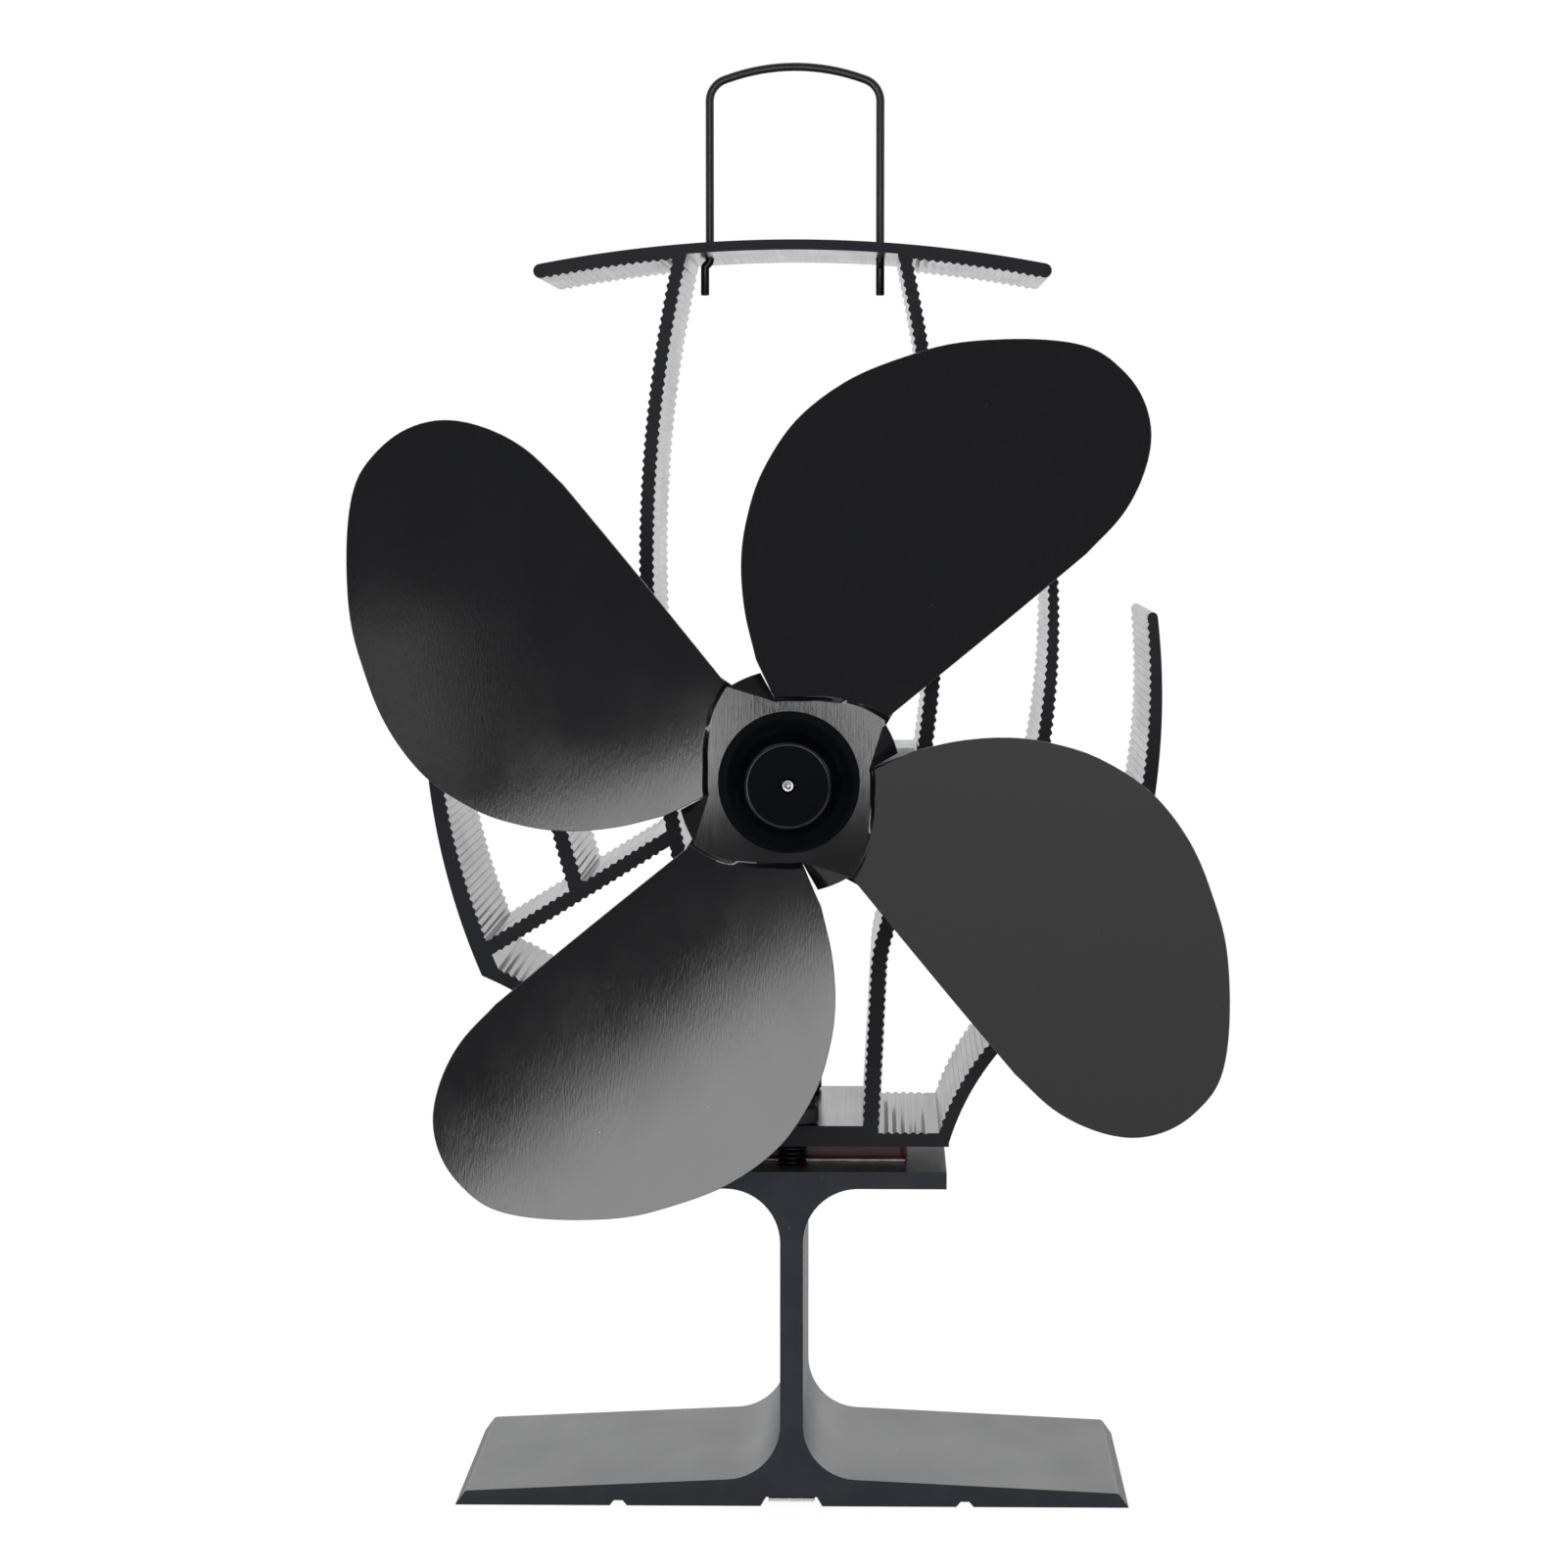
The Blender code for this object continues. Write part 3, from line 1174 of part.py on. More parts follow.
def make_magnets(paint):
    middle = (CORE_FRONT + CORE_REAR) / 2
    arc = []
    for radius, way in ((MAGNET_OUTSIDE, 1), (MAGNET_OUTSIDE - MAGNET_THICKNESS, -1)):
        arc += [polar(radius, way * MAGNET_SPAN * (step / SMALL_STEPS - 0.5))
                for step in range(SMALL_STEPS + 1)]
    mesh = prism("motor_magnet", arc, middle - MAGNET_LENGTH / 2, middle + MAGNET_LENGTH / 2)
    half_turned("motor_magnet", "right", "left", paint, mesh)


def make_brushes(carbon, brass):
    half = BRUSH_WIDTH / 2
    near = COMMUTATOR_RADIUS + GAP
    mesh = box_mesh("motor_brush", (-half, near, CAP_FRONT + GAP),
                    (half, near + BRUSH_LENGTH, COMMUTATOR_FRONT - GAP))
    half_turned("motor_brush", "upper", "lower", carbon, mesh)
    half = Vector((TERMINAL_WIDTH / 2, TERMINAL_THICKNESS / 2, 0))
    mesh = box_mesh("motor_terminal", Vector((0, TERMINAL_SPACING / 2, TERMINAL_REAR)) - half,
                    Vector((0, TERMINAL_SPACING / 2, CAP_FRONT)) + half)
    half_turned("motor_terminal", "upper", "lower", brass, mesh)


# Turning parts of the motor

def core_outline():
    """A lamination with its poles: necks that end in curved shoes."""
    shoe_inside = CORE_RADIUS - POLE_SHOE_THICKNESS
    neck = POLE_NECK_WIDTH / 2
    at_hub = math.asin(neck / CORE_HUB_RADIUS)
    at_shoe = math.asin(neck / shoe_inside)
    edge = POLE_SHOE_SPAN / 2
    outline = []
    for pole in range(CORE_POLES):
        middle = math.pi / 2 + math.tau * pole / CORE_POLES
        outline += [polar(CORE_HUB_RADIUS, middle - at_hub), polar(shoe_inside, middle - at_shoe),
                    polar(shoe_inside, middle - edge)]
        outline += [polar(CORE_RADIUS, middle - edge + POLE_SHOE_SPAN * step / POLE_STEPS)
                    for step in range(POLE_STEPS + 1)]
        outline += [polar(shoe_inside, middle + edge), polar(shoe_inside, middle + at_shoe),
                    polar(CORE_HUB_RADIUS, middle + at_hub)]
    return outline


def make_armature(steel, copper):
    outlines = [core_outline(), circle(SHAFT_BORE, SMALL_STEPS)]
    mesh = pierced_prism("armature_core", outlines, CORE_REAR, CORE_FRONT)
    place(add_mesh("armature_core", mesh), steel, rotor)
    middle = (CORE_FRONT + CORE_REAR) / 2
    inner = (POLE_NECK_WIDTH / 2 + GAP, CORE_LENGTH / 2 + GAP)
    outer = (inner[0] + WINDING_BUILD, inner[1] + WINDING_BUILD)
    outlines = [[(-x, -y), (x, -y), (x, y), (-x, y)] for x, y in (outer, inner)]
    near = CORE_HUB_RADIUS + GAP
    shoe_inside = CORE_RADIUS - POLE_SHOE_THICKNESS
    shoe_side = POLE_SHOE_SPAN / 2
    free = shoe_inside * math.cos(shoe_side / 2) - GAP
    far = math.sqrt(free ** 2 - outer[0] ** 2)
    coil = pierced_prism("armature_winding", outlines, near, far)
    coil.transform(Matrix.Rotation(math.pi / 2, 4, "X") @ Matrix.Rotation(math.pi, 4, "Y"))
    copies(add_mesh("armature_winding", coil), copper, rotor, [
        (f"armature_winding_{pole + 1}", (0, 0, middle), (0, 0, math.tau * pole / CORE_POLES))
        for pole in range(CORE_POLES)
    ])


def make_commutator(paint):
    profile = ring_profile(COMMUTATOR_RADIUS, SHAFT_BORE, COMMUTATOR_REAR, COMMUTATOR_FRONT)
    obj = place(turned("commutator", profile, ROUND_STEPS, closed=True), paint, rotor)
    half = COMMUTATOR_SLIT / 2
    for slit in range(CORE_POLES):
        angle = math.pi / 2 + math.tau * (slit + 0.5) / CORE_POLES
        mesh = box_mesh(
            f"commutator_slit_{slit + 1}",
            (COMMUTATOR_RADIUS - COMMUTATOR_SLIT_DEPTH, -half, COMMUTATOR_REAR - GAP),
            (COMMUTATOR_RADIUS + OVERRUN, half, COMMUTATOR_FRONT + GAP))
        boolean(obj, "DIFFERENCE", mesh, rotor, turn=(0, 0, angle))


def make_shaft(steel, washer_paint):
    profile = rod_profile(SHAFT_RADIUS, SHAFT_REAR, SHAFT_TIP, SHAFT_PROUD)
    place(turned("motor_shaft", profile, SMALL_STEPS), steel, rotor)
    profile = ring_profile(WASHER_RADIUS, SHAFT_BORE, 0, WASHER_THICKNESS)
    washer = turned("thrust_washer", profile, SMALL_STEPS, closed=True)
    copies(washer, washer_paint, rotor, [
        ("thrust_washer_front", (0, 0, FRONT_BUSH_REAR - GAP - WASHER_THICKNESS), (0, 0, 0)),
        ("thrust_washer_rear", (0, 0, REAR_BUSH_FRONT + GAP), (0, 0, 0)),
    ])


# Hub and blades

def make_hub(hub_paint, collar_paint, grub_paint):
    foot = DISC_FRONT + GAP
    top_of_foot = foot + HUB_FOOT_THICKNESS
    profile = rounded([
        (SHAFT_BORE, HUB_FRONT, 0), (HUB_FACE_RADIUS, HUB_FRONT, HUB_FACE_ROUND),
        (HUB_WAIST_RADIUS, top_of_foot, HUB_FILLET), (HUB_FOOT_RADIUS, top_of_foot, 0),
        (HUB_FOOT_RADIUS, foot, 0), (HUB_SPIGOT_RADIUS, foot, 0),
        (HUB_SPIGOT_RADIUS, DISC_REAR, 0), (SHAFT_BORE, DISC_REAR, 0),
    ])
    place(turned("fan_hub", profile, FINE_STEPS, closed=True), hub_paint, rotor)
    front = DISC_REAR - GAP
    rear = front - COLLAR_LENGTH
    middle = (front + rear) / 2
    profile = ring_profile(COLLAR_RADIUS, SHAFT_BORE, rear, front)
    collar = turned("hub_collar", profile, ROUND_STEPS, closed=True)
    place(collar, collar_paint, rotor)
    hole = rod_mesh("collar_hole", GRUB_SCREW_RADIUS + GAP, (0, 0, middle),
                    (0, COLLAR_RADIUS + OVERRUN, middle), SMALL_STEPS)
    boolean(collar, "DIFFERENCE", hole, rotor)
    mesh = rod_mesh("hub_grub_screw", GRUB_SCREW_RADIUS, (0, SHAFT_BORE, middle),
                    (0, COLLAR_RADIUS - GAP, middle), SMALL_STEPS)
    grub = place(add_mesh("hub_grub_screw", mesh), grub_paint, rotor)
    top = COLLAR_RADIUS - GAP
    socket = rod_mesh("grub_socket", GRUB_SCREW_RADIUS / 2, (0, top - GRUB_SCREW_RADIUS, middle),
                      (0, top + OVERRUN, middle), HEX_STEPS)
    boolean(grub, "DIFFERENCE", socket, rotor)


def crease_radius(angle):
    """Where the blade at this angle starts to bend away from the disc."""
    return between(CREASE_SHARES, math.degrees(angle)) * BLADE_REACH


def in_sector(point):
    """The point's angle, turned into the quarter that ends where a blade's notch ends."""
    turn = math.tau / BLADE_COUNT
    start = NOTCH_END_ANGLE - turn
    return (math.atan2(point.y, point.x) - start) % turn + start


def blade_outline():
    """One quarter of the rotor's outline, from a blade's straight edge to the next one's."""
    turn = Matrix.Rotation(BLADE_HEEL, 2)
    straight = [turn @ Vector(share) * BLADE_REACH for share in STRAIGHT_EDGE_SHARES]
    edge = [turn @ Vector(share) * BLADE_REACH for share in ROUND_EDGE_SHARES]
    rim = DISC_RIM_SHARE * BLADE_REACH
    mouth, mouth_end = SLIT_MOUTH_ANGLES
    outline = spline(straight, OUTLINE_STEP)[:-1] + spline(edge, OUTLINE_STEP)
    outline += [polar(rim, mouth), polar(crease_radius(SLIT_ROOT_ANGLE), SLIT_ROOT_ANGLE)]
    outline += [polar(rim, mouth_end + (NOTCH_END_ANGLE - mouth_end) * step / ARC_STEPS)
                for step in range(ARC_STEPS + 1)]
    return outline


def fold_ends():
    """The ends of the straight fold that bends a flap back, beside the slit."""
    heel = math.radians(CREASE_SHARES[0][0])
    return (polar(crease_radius(SLIT_ROOT_ANGLE), SLIT_ROOT_ANGLE),
            polar(crease_radius(heel), heel + math.tau / BLADE_COUNT))


def bend_lines():
    """Lines along the bends of one quarter: rows across the blade's root, then the fold."""
    heel = math.radians(CREASE_SHARES[0][0])
    angles = [heel + (SLIT_ROOT_ANGLE - heel) * step / CREASE_STEPS
              for step in range(CREASE_STEPS + 1)]
    rows = [[polar(crease_radius(angle) + BEND_LENGTH * row / BEND_ROWS, angle)
             for angle in angles] for row in range(BEND_ROWS + 1)]
    start, end = fold_ends()
    return rows + [[start.lerp(end, step / ARC_STEPS) for step in range(ARC_STEPS + 1)]]


def inside(point, outline, margin):
    """Whether a point lies within an outline, at least the margin from its edges."""
    crossings = 0
    for here, there in zip(outline, outline[1:] + outline[:1]):
        way = there - here
        share = min(1, max(0, (point - here).dot(way) / way.length_squared))
        if (here + way * share - point).length < margin:
            return False
        if (here.y > point.y) != (there.y > point.y):
            crossings += point.x < here.x + way.x * (point.y - here.y) / way.y
    return crossings % 2 == 1


def on_blade(radius, angle):
    """Whether a spot lies on the blade's side of the slit between blade and flap."""
    rim = DISC_RIM_SHARE * BLADE_REACH
    slit = ((crease_radius(SLIT_ROOT_ANGLE), SLIT_ROOT_ANGLE), (rim, sum(SLIT_MOUTH_ANGLES) / 2))
    return radius > rim + GAP or angle <= between(slit, radius)


def sheet_depth(point):
    """How far the pressed sheet stands forward of its flat disc at a point."""
    radius = point.length
    angle = in_sector(point)
    if on_blade(radius, angle):
        share = smooth_step((radius - crease_radius(angle)) / BEND_LENGTH)
        return radius * math.sin(angle - BLADE_AXIS) * math.tan(BLADE_PITCH) * share
    start, end = fold_ends()
    way = (end - start).normalized()
    local = polar(radius, angle) - start
    return min(0, way.x * local.y - way.y * local.x) * math.tan(FLAP_BEND)


def sheet_plan():
    """The rotor's sheet drawn flat: its points, and its triangles as rows of indices."""
    spins = [Matrix.Rotation(math.tau * blade / BLADE_COUNT, 2) for blade in range(BLADE_COUNT)]
    outline = [spin @ point for spin in spins for point in blade_outline()]
    points = []
    edges = []
    for loop in (outline, circle(DISC_BORE, ROUND_STEPS)):
        ring = range(len(points), len(points) + len(loop))
        edges += zip(ring, [*ring[1:], ring[0]])
        points += loop
    for spin in spins:
        for line in bend_lines():
            kept = [point for point in (spin @ point for point in line)
                    if inside(point, outline, EDGE_MARGIN)]
            row = range(len(points), len(points) + len(kept))
            edges += zip(row, row[1:])
            points += kept
    found, _, faces, *_ = delaunay_2d_cdt(points, list(edges), [], 1, SAME_POINT)
    bore = DISC_BORE * math.cos(math.pi / ROUND_STEPS)
    return found, [face for face in faces
                   if (sum((found[i] for i in face), Vector((0, 0))) / len(face)).length > bore]


def sheet_mesh():
    """The rotor's sheet, pressed and of even thickness, closed round its edges."""
    points, faces = sheet_plan()
    sheet = bmesh.new()
    front, back = [
        [sheet.verts.new((*point, sheet_depth(point) - drop)) for point in points]
        for drop in (0, BLADE_THICKNESS)
    ]
    sides = {pair for face in faces for pair in zip(face, [*face[1:], face[0]])}
    for face in faces:
        sheet.faces.new([front[index] for index in face])
        sheet.faces.new([back[index] for index in reversed(face)])
    for here, there in sorted(sides):
        if (there, here) not in sides:
            sheet.faces.new([front[there], front[here], back[here], back[there]])
    mesh = bpy.data.meshes.new("fan_blades")
    sheet.to_mesh(mesh)
    sheet.free()
    return mesh


def make_blades(paint):
    obj = place(add_mesh("fan_blades", sheet_mesh()), paint, rotor, (0, 0, DISC_FRONT))
    shade(obj)


# Leads

def make_leads(positive_paint, negative_paint):
    for name, route, paint in (
        ("lead_positive", POSITIVE_LEAD_ROUTE, positive_paint),
        ("lead_negative", NEGATIVE_LEAD_ROUTE, negative_paint),
    ):
        points = spline([Vector(point) * MM for point in route], LEAD_STEP)
        place(tube(name, points, LEAD_RADIUS), paint, fan)


# The whole fan

def main():
    black = material("black_anodised", (0.012, 0.012, 0.014), 0.42, 0.6)
    graphite = material("blade_coating", (0.02, 0.021, 0.023), 0.38, 0.7)
    stand_grey = material("stand_anodised", (0.03, 0.034, 0.042), 0.45, 0.6)
    steel = material("steel", (0.56, 0.57, 0.58), 0.28, 1.0)
    dark_steel = material("dark_steel", (0.05, 0.05, 0.055), 0.4, 0.9)
    spring_steel = material("spring_steel", (0.32, 0.31, 0.28), 0.35, 1.0)
    bimetal = material("bimetal", (0.45, 0.36, 0.24), 0.35, 1.0)
    brass = material("brass", (0.7, 0.48, 0.18), 0.3, 1.0)
    bronze = material("bearing_bronze", (0.42, 0.26, 0.12), 0.4, 1.0)
    copper = material("copper", (0.65, 0.25, 0.12), 0.35, 1.0)
    aluminium = material("aluminium", (0.6, 0.61, 0.62), 0.35, 1.0)
    ceramic = material("ceramic", (0.86, 0.86, 0.84), 0.5)
    pellet = material("pellet", (0.16, 0.16, 0.17), 0.35, 0.8)
    silicone = material("red_silicone", (0.11, 0.015, 0.018), 0.5)
    insulator = material("insulator", (0.72, 0.7, 0.66), 0.6)
    hub_black = material("hub_plastic", (0.012, 0.012, 0.013), 0.35)
    cap_plastic = material("cap_plastic", (0.02, 0.02, 0.022), 0.5)
    nylon = material("nylon", (0.75, 0.74, 0.7), 0.55)
    magnet = material("magnet", (0.06, 0.06, 0.06), 0.6, 0.3)
    carbon = material("carbon", (0.03, 0.03, 0.03), 0.5, 0.2)
    lead_red = material("lead_red", (0.45, 0.02, 0.015), 0.5)
    lead_black = material("lead_black", (0.015, 0.015, 0.015), 0.5)
    wire = material("handle_wire", (0.02, 0.02, 0.021), 0.35, 0.8)

    paths = sink_paths()
    make_stand(stand_grey)
    make_bimetal(bimetal, brass)
    make_module(ceramic, pellet, silicone)
    make_heat_sink(black, paths)
    make_clamps(dark_steel, insulator, spring_steel)
    make_handle(wire, paths)
    make_mount(aluminium, paths)
    make_mount_screws(steel, paths["leg"])
    make_face_screws(steel)
    make_can(steel)
    make_end_cap(cap_plastic)
    make_bushes(bronze)
    make_magnets(magnet)
    make_brushes(carbon, brass)
    make_armature(dark_steel, copper)
    make_commutator(copper)
    make_shaft(steel, nylon)
    make_hub(hub_black, steel, dark_steel)
    make_blades(graphite)
    make_leads(lead_red, lead_black)


main()
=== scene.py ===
"""Looks of a heat-powered stove fan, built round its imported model.

Pieces are drawn as seen from the front, x to the right, y up and z towards the
viewer, all in metres. TO_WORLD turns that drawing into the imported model's frame.
"""
import json
import math

import bmesh
import bpy
from mathutils import Matrix, Vector
from mathutils.geometry import delaunay_2d_cdt

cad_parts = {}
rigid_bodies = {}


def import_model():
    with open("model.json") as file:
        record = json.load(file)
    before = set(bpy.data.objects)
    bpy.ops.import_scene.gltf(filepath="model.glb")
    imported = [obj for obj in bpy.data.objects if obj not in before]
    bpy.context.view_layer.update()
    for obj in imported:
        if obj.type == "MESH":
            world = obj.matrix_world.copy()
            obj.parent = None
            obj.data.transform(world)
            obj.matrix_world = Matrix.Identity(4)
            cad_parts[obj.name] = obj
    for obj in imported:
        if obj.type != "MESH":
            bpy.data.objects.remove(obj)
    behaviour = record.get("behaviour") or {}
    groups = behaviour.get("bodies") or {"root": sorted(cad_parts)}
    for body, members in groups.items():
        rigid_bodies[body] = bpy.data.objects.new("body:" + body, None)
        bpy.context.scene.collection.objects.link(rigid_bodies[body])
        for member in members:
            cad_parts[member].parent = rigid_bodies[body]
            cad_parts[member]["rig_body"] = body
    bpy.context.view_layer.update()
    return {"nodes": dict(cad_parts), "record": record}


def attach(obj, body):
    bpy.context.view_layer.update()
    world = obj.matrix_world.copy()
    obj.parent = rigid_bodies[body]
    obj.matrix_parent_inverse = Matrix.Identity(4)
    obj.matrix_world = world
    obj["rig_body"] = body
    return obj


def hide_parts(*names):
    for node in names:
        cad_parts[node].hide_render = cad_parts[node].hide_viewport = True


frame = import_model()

MM = 0.001
FRAME_SHIFT = 15.1 * MM
TO_WORLD = Matrix.Translation((0, FRAME_SHIFT, 0)) @ Matrix.Rotation(math.pi / 2, 4, "X")

# Fits
GAP = 0.3 * MM
OVERRUN = 1.0 * MM
MERGE_DISTANCE = 0.001 * MM

# Stand
STAND_DEPTH = 60.0 * MM
STAND_HEIGHT = 58.35 * MM
FOOT_WIDTH = 116.6 * MM
FOOT_EDGE_HEIGHT = 2.5 * MM
FOOT_EDGE_LEAN = 1.8 * MM
FOOT_EDGE_ROUND = 0.8 * MM
FOOT_ROOT_HEIGHT = 5.1 * MM
WEB_THICKNESS = 3.95 * MM
WEB_FILLET = 9.5 * MM
FLANGE_WIDTH = 53.4 * MM
FLANGE_THICKNESS = 2.95 * MM
CHANNEL_MOUTH_WIDTH = 10.7 * MM
CHANNEL_CEILING_WIDTH = 8.8 * MM
CHANNEL_DEPTH = 1.6 * MM
GROOVE_SPACING = 60.0 * MM
GROOVE_WIDTH = 3.0 * MM
GROOVE_DEPTH = 0.9 * MM
RIVET_SHANK_RADIUS = 1.2 * MM
RIVET_LENGTH = 4.0 * MM
RIVET_FROM_REAR = 10.0 * MM
STAND_CHAMFER = 0.12 * MM

# Thermoelectric module
MODULE_WIDTH = 40.2 * MM
MODULE_DEPTH = 36.0 * MM
MODULE_HEIGHT = 3.65 * MM
SEAL_WALL = 1.1 * MM
SEAL_CORNER_RADIUS = 1.5 * MM
SEAL_BULGE = 0.25 * MM

# The seal's bulge up its wall, as shares of the height and of SEAL_BULGE
SEAL_SWELL = ((0, 0), (0.08, 0.55), (0.3, 0.95), (0.55, 1), (0.8, 0.9), (0.95, 0.5), (1, 0))

# Painted highlights: two white beads along the seal's front edges, for its wavy light line below
# and the glint along its top; their ends from left to right in millimetres, and the waves of
# their edge as the pace in each millimetre, the phase and the height
GLINT_LOWER = (-19.2, 19.6)
GLINT_UPPER = (3.4, 6.8)
GLINT_LOWER_RADIUS = 0.24 * MM
GLINT_UPPER_RADIUS = 0.2 * MM
GLINT_STEP = 0.4
GLINT_PROUD = 0.12 * MM
GLINT_SWAY = 0.08 * MM
GLINT_THINNEST = 0.8
GLINT_SWELL = 0.16
GLINT_END_SHARE = 0.5
GLINT_WAVES = ((1.9, 0, 0.5), (4.3, 1, 0.3), (0.7, 0, 0.4))

# Heat sink
SINK_DEPTH = 50.0 * MM
SINK_HEIGHT = 156.1 * MM
PLATE_WIDTH = 54.3 * MM
PLATE_THICKNESS = 2.4 * MM
PAD_THICKNESS = 3.6 * MM
TOOTH_PITCH = 1.43 * MM
TOOTH_DEPTH = 0.36 * MM
TOOTH_MARGIN = 1.1 * MM
LEG_ROOT_THICKNESS = 2.7 * MM
LEG_TOP_THICKNESS = 2.1 * MM
LEG_FOOT_SPACING = 27.0 * MM
LEG_KNEE_SPACING = 30.2 * MM
LEG_KNEE_HEIGHT = 33.5 * MM
LEG_KNEE_RADIUS = 25.0 * MM
LEG_KNEE_REACH = 8.0 * MM
LEG_TOP_SPACING = 37.8 * MM
LEG_BOW_RADIUS = 236.0 * MM
TOP_SPAN = 88.7 * MM
TOP_THICKNESS = 1.75 * MM
TOP_TIP_THICKNESS = 2.45 * MM
TOP_STEP = 0.5 * MM
TOP_RADIUS = 229.0 * MM
WALL_THICKNESS = 2.2 * MM
WALL_FOOT_SHARE = 0.45
WALL_RADIUS = 46.2 * MM
CORNER_SPACING = 104.4 * MM
CORNER_HEIGHT = 30.15 * MM
ARM_ROOT_THICKNESS = 3.1 * MM
ARM_TIP_THICKNESS = 1.8 * MM
ARM_TIP_SPACING = 123.6 * MM
ARM_TIP_HEIGHT = 91.6 * MM
ARM_RADIUS = 120.0 * MM
STRUT_THICKNESS = 2.5 * MM
STRUT_ARM_HEIGHT = 33.6 * MM
STRUT_LEG_HEIGHT = 54.1 * MM
FIN_ROOT_THICKNESS = 2.7 * MM
FIN_TIP_THICKNESS = 1.4 * MM
FIN_ROOT_SPACING = 73.8 * MM
FIN_TIP_SPACING = 87.5 * MM
FIN_TIP_HEIGHT = 110.0 * MM
FIN_RADIUS = 150.0 * MM

# Clamp screws
CLAMP_SCREW_RADIUS = 2.5 * MM
CLAMP_CLEARANCE = 0.7 * MM
CLAMP_HEAD_RADIUS = 4.75 * MM
CLAMP_HEAD_HEIGHT = 5.0 * MM
CLAMP_HEAD_ROUND = 0.5 * MM
CLAMP_SOCKET_RADIUS = 2.3 * MM
CLAMP_SOCKET_DEPTH = 2.6 * MM
CLAMP_GRIP = 5.9 * MM
CLAMP_TIP_SHARE = 0.8
FLUTE_DEPTH_SHARE = 0.024
FLUTE_START_SHARE = 0.97
THREAD_PITCH = 0.8 * MM
THREAD_START = 3.5 * MM
THREAD_CREST_SHARE = 0.2
THREAD_ROOT_SHARE = 0.6
THREAD_DEPTH_SHARE = 0.5
INSULATOR_RADIUS = 4.5 * MM
INSULATOR_THICKNESS = 2.6 * MM
INSULATOR_TOP_ROUND = 0.35 * MM
INSULATOR_FOOT_ROUND = 0.2 * MM
SPRING_WASHER_RADIUS = 4.1 * MM
SPRING_WASHER_THICKNESS = 1.4 * MM
SPRING_WASHER_SPLIT = 0.6 * MM
SPRING_WASHER_LIFT = 0.12 * MM
SPRING_WASHER_INSET = 0.1 * MM

# Handle
WIRE_RADIUS = 0.74 * MM
HANDLE_SPACING = 30.0 * MM
HANDLE_RISE = 32.1 * MM
HANDLE_CROWN_DROP = 2.1 * MM
HANDLE_CROWN_SPACING = 24.0 * MM
HANDLE_SHOULDER_RADIUS = 4.0 * MM
HANDLE_TAIL = 8.6 * MM
KINK_OFFSET = 0.85 * MM
KINK_LENGTH = 1.2 * MM
KINK_STEPS = 5
WIRE_END_CHAMFER = 0.15 * MM

# Motor and bracket
AXLE_RISE = 65.1 * MM
MOTOR_RADIUS = 12.0 * MM
MOTOR_LENGTH = 19.0 * MM
MOTOR_WALL = 0.8 * MM
MOTOR_BOSS_RADIUS = 3.2 * MM
MOTOR_BOSS_LENGTH = 1.6 * MM
MOTOR_BOSS_ROUND = 0.3 * MM
MOTOR_BOSS_FILLET = 0.25 * MM
MOTOR_FRONT_ROUND = 1.1 * MM
MOTOR_REAR_ROUND = 0.15 * MM
MOUNT_FRONT = 30.0 * MM
MOUNT_DEPTH = 22.0 * MM
MOUNT_WALL = 2.3 * MM
MOUNT_LIP = 1.5 * MM
MOUNT_MOUTH_RADIUS = 4.2 * MM
MOUNT_CHAMFER = 0.15 * MM
EAR_HEIGHT = 8.8 * MM
EAR_SCREW_RADIUS = 1.5 * MM
EAR_SCREW_GRIP = 4.2 * MM
FACE_SCREW_RADIUS = 1.25 * MM
FACE_SCREW_SPACING = 16.0 * MM
CAP_PLUG_DEPTH = 2.0 * MM
CAP_FLANGE_THICKNESS = 1.5 * MM
CAP_BOSS_RADIUS = 3.6 * MM
CAP_BOSS_LENGTH = 1.6 * MM
CAP_BOSS_ROUND = 0.4 * MM
CAP_BOSS_FILLET = 0.3 * MM
CAP_EDGE_ROUND = 0.6 * MM
CAP_GROOVE_SHARES = (0.66, 0.68, 0.76, 0.78)
CAP_GROOVE_DEPTH = 0.35 * MM
CAP_GROOVE_ROUND = 0.1 * MM
BUSH_RADIUS = 2.4 * MM
BUSH_LENGTH = 2.8 * MM
SHAFT_RADIUS = 1.0 * MM
TERMINAL_SPACING = 13.0 * MM
TERMINAL_WIDTH = 2.4 * MM
TERMINAL_THICKNESS = 0.5 * MM

# Rotor
HUB_FRONT = 60.0 * MM
HUB_HEIGHT = 8.4 * MM
HUB_FACE_RADIUS = 7.1 * MM
HUB_FACE_ROUND = 0.5 * MM
HUB_WAIST_RADIUS = 8.6 * MM
HUB_FOOT_RADIUS = 11.8 * MM
HUB_FOOT_THICKNESS = 0.5 * MM
HUB_FILLET = 3.0 * MM
HUB_SPIGOT_RADIUS = 4.0 * MM
SHAFT_PROUD = 0.2 * MM
SHAFT_DIMPLE_RADIUS = 0.4 * MM
SHAFT_DIMPLE_DEPTH = 0.45 * MM
SHAFT_BREAK_WIDTH = 0.13 * MM
SHAFT_BREAK_LENGTH = 0.2 * MM
COLLAR_RADIUS = 5.5 * MM
COLLAR_LENGTH = 6.0 * MM
COLLAR_ROUND = 0.3 * MM
GRUB_SCREW_RADIUS = 1.5 * MM
BLADE_COUNT = 4
BLADE_REACH = 87.5 * MM
BLADE_THICKNESS = 1.0 * MM
BLADE_PITCH = math.radians(12.4)
BLADE_AXIS = math.radians(56.5)
BLADE_HEEL = math.radians(40.9)
BEND_LENGTH = 0.9 * MM
BEND_ROWS = 9
BEND_STEPS = 44
EDGE_BREAK = 0.1 * MM
CREASE_STEPS = 6
FLAP_BEND = math.radians(18)
OUTLINE_STEP = 1.2 * MM
EDGE_MARGIN = 0.2 * MM
TURNING_BACK = 0.2

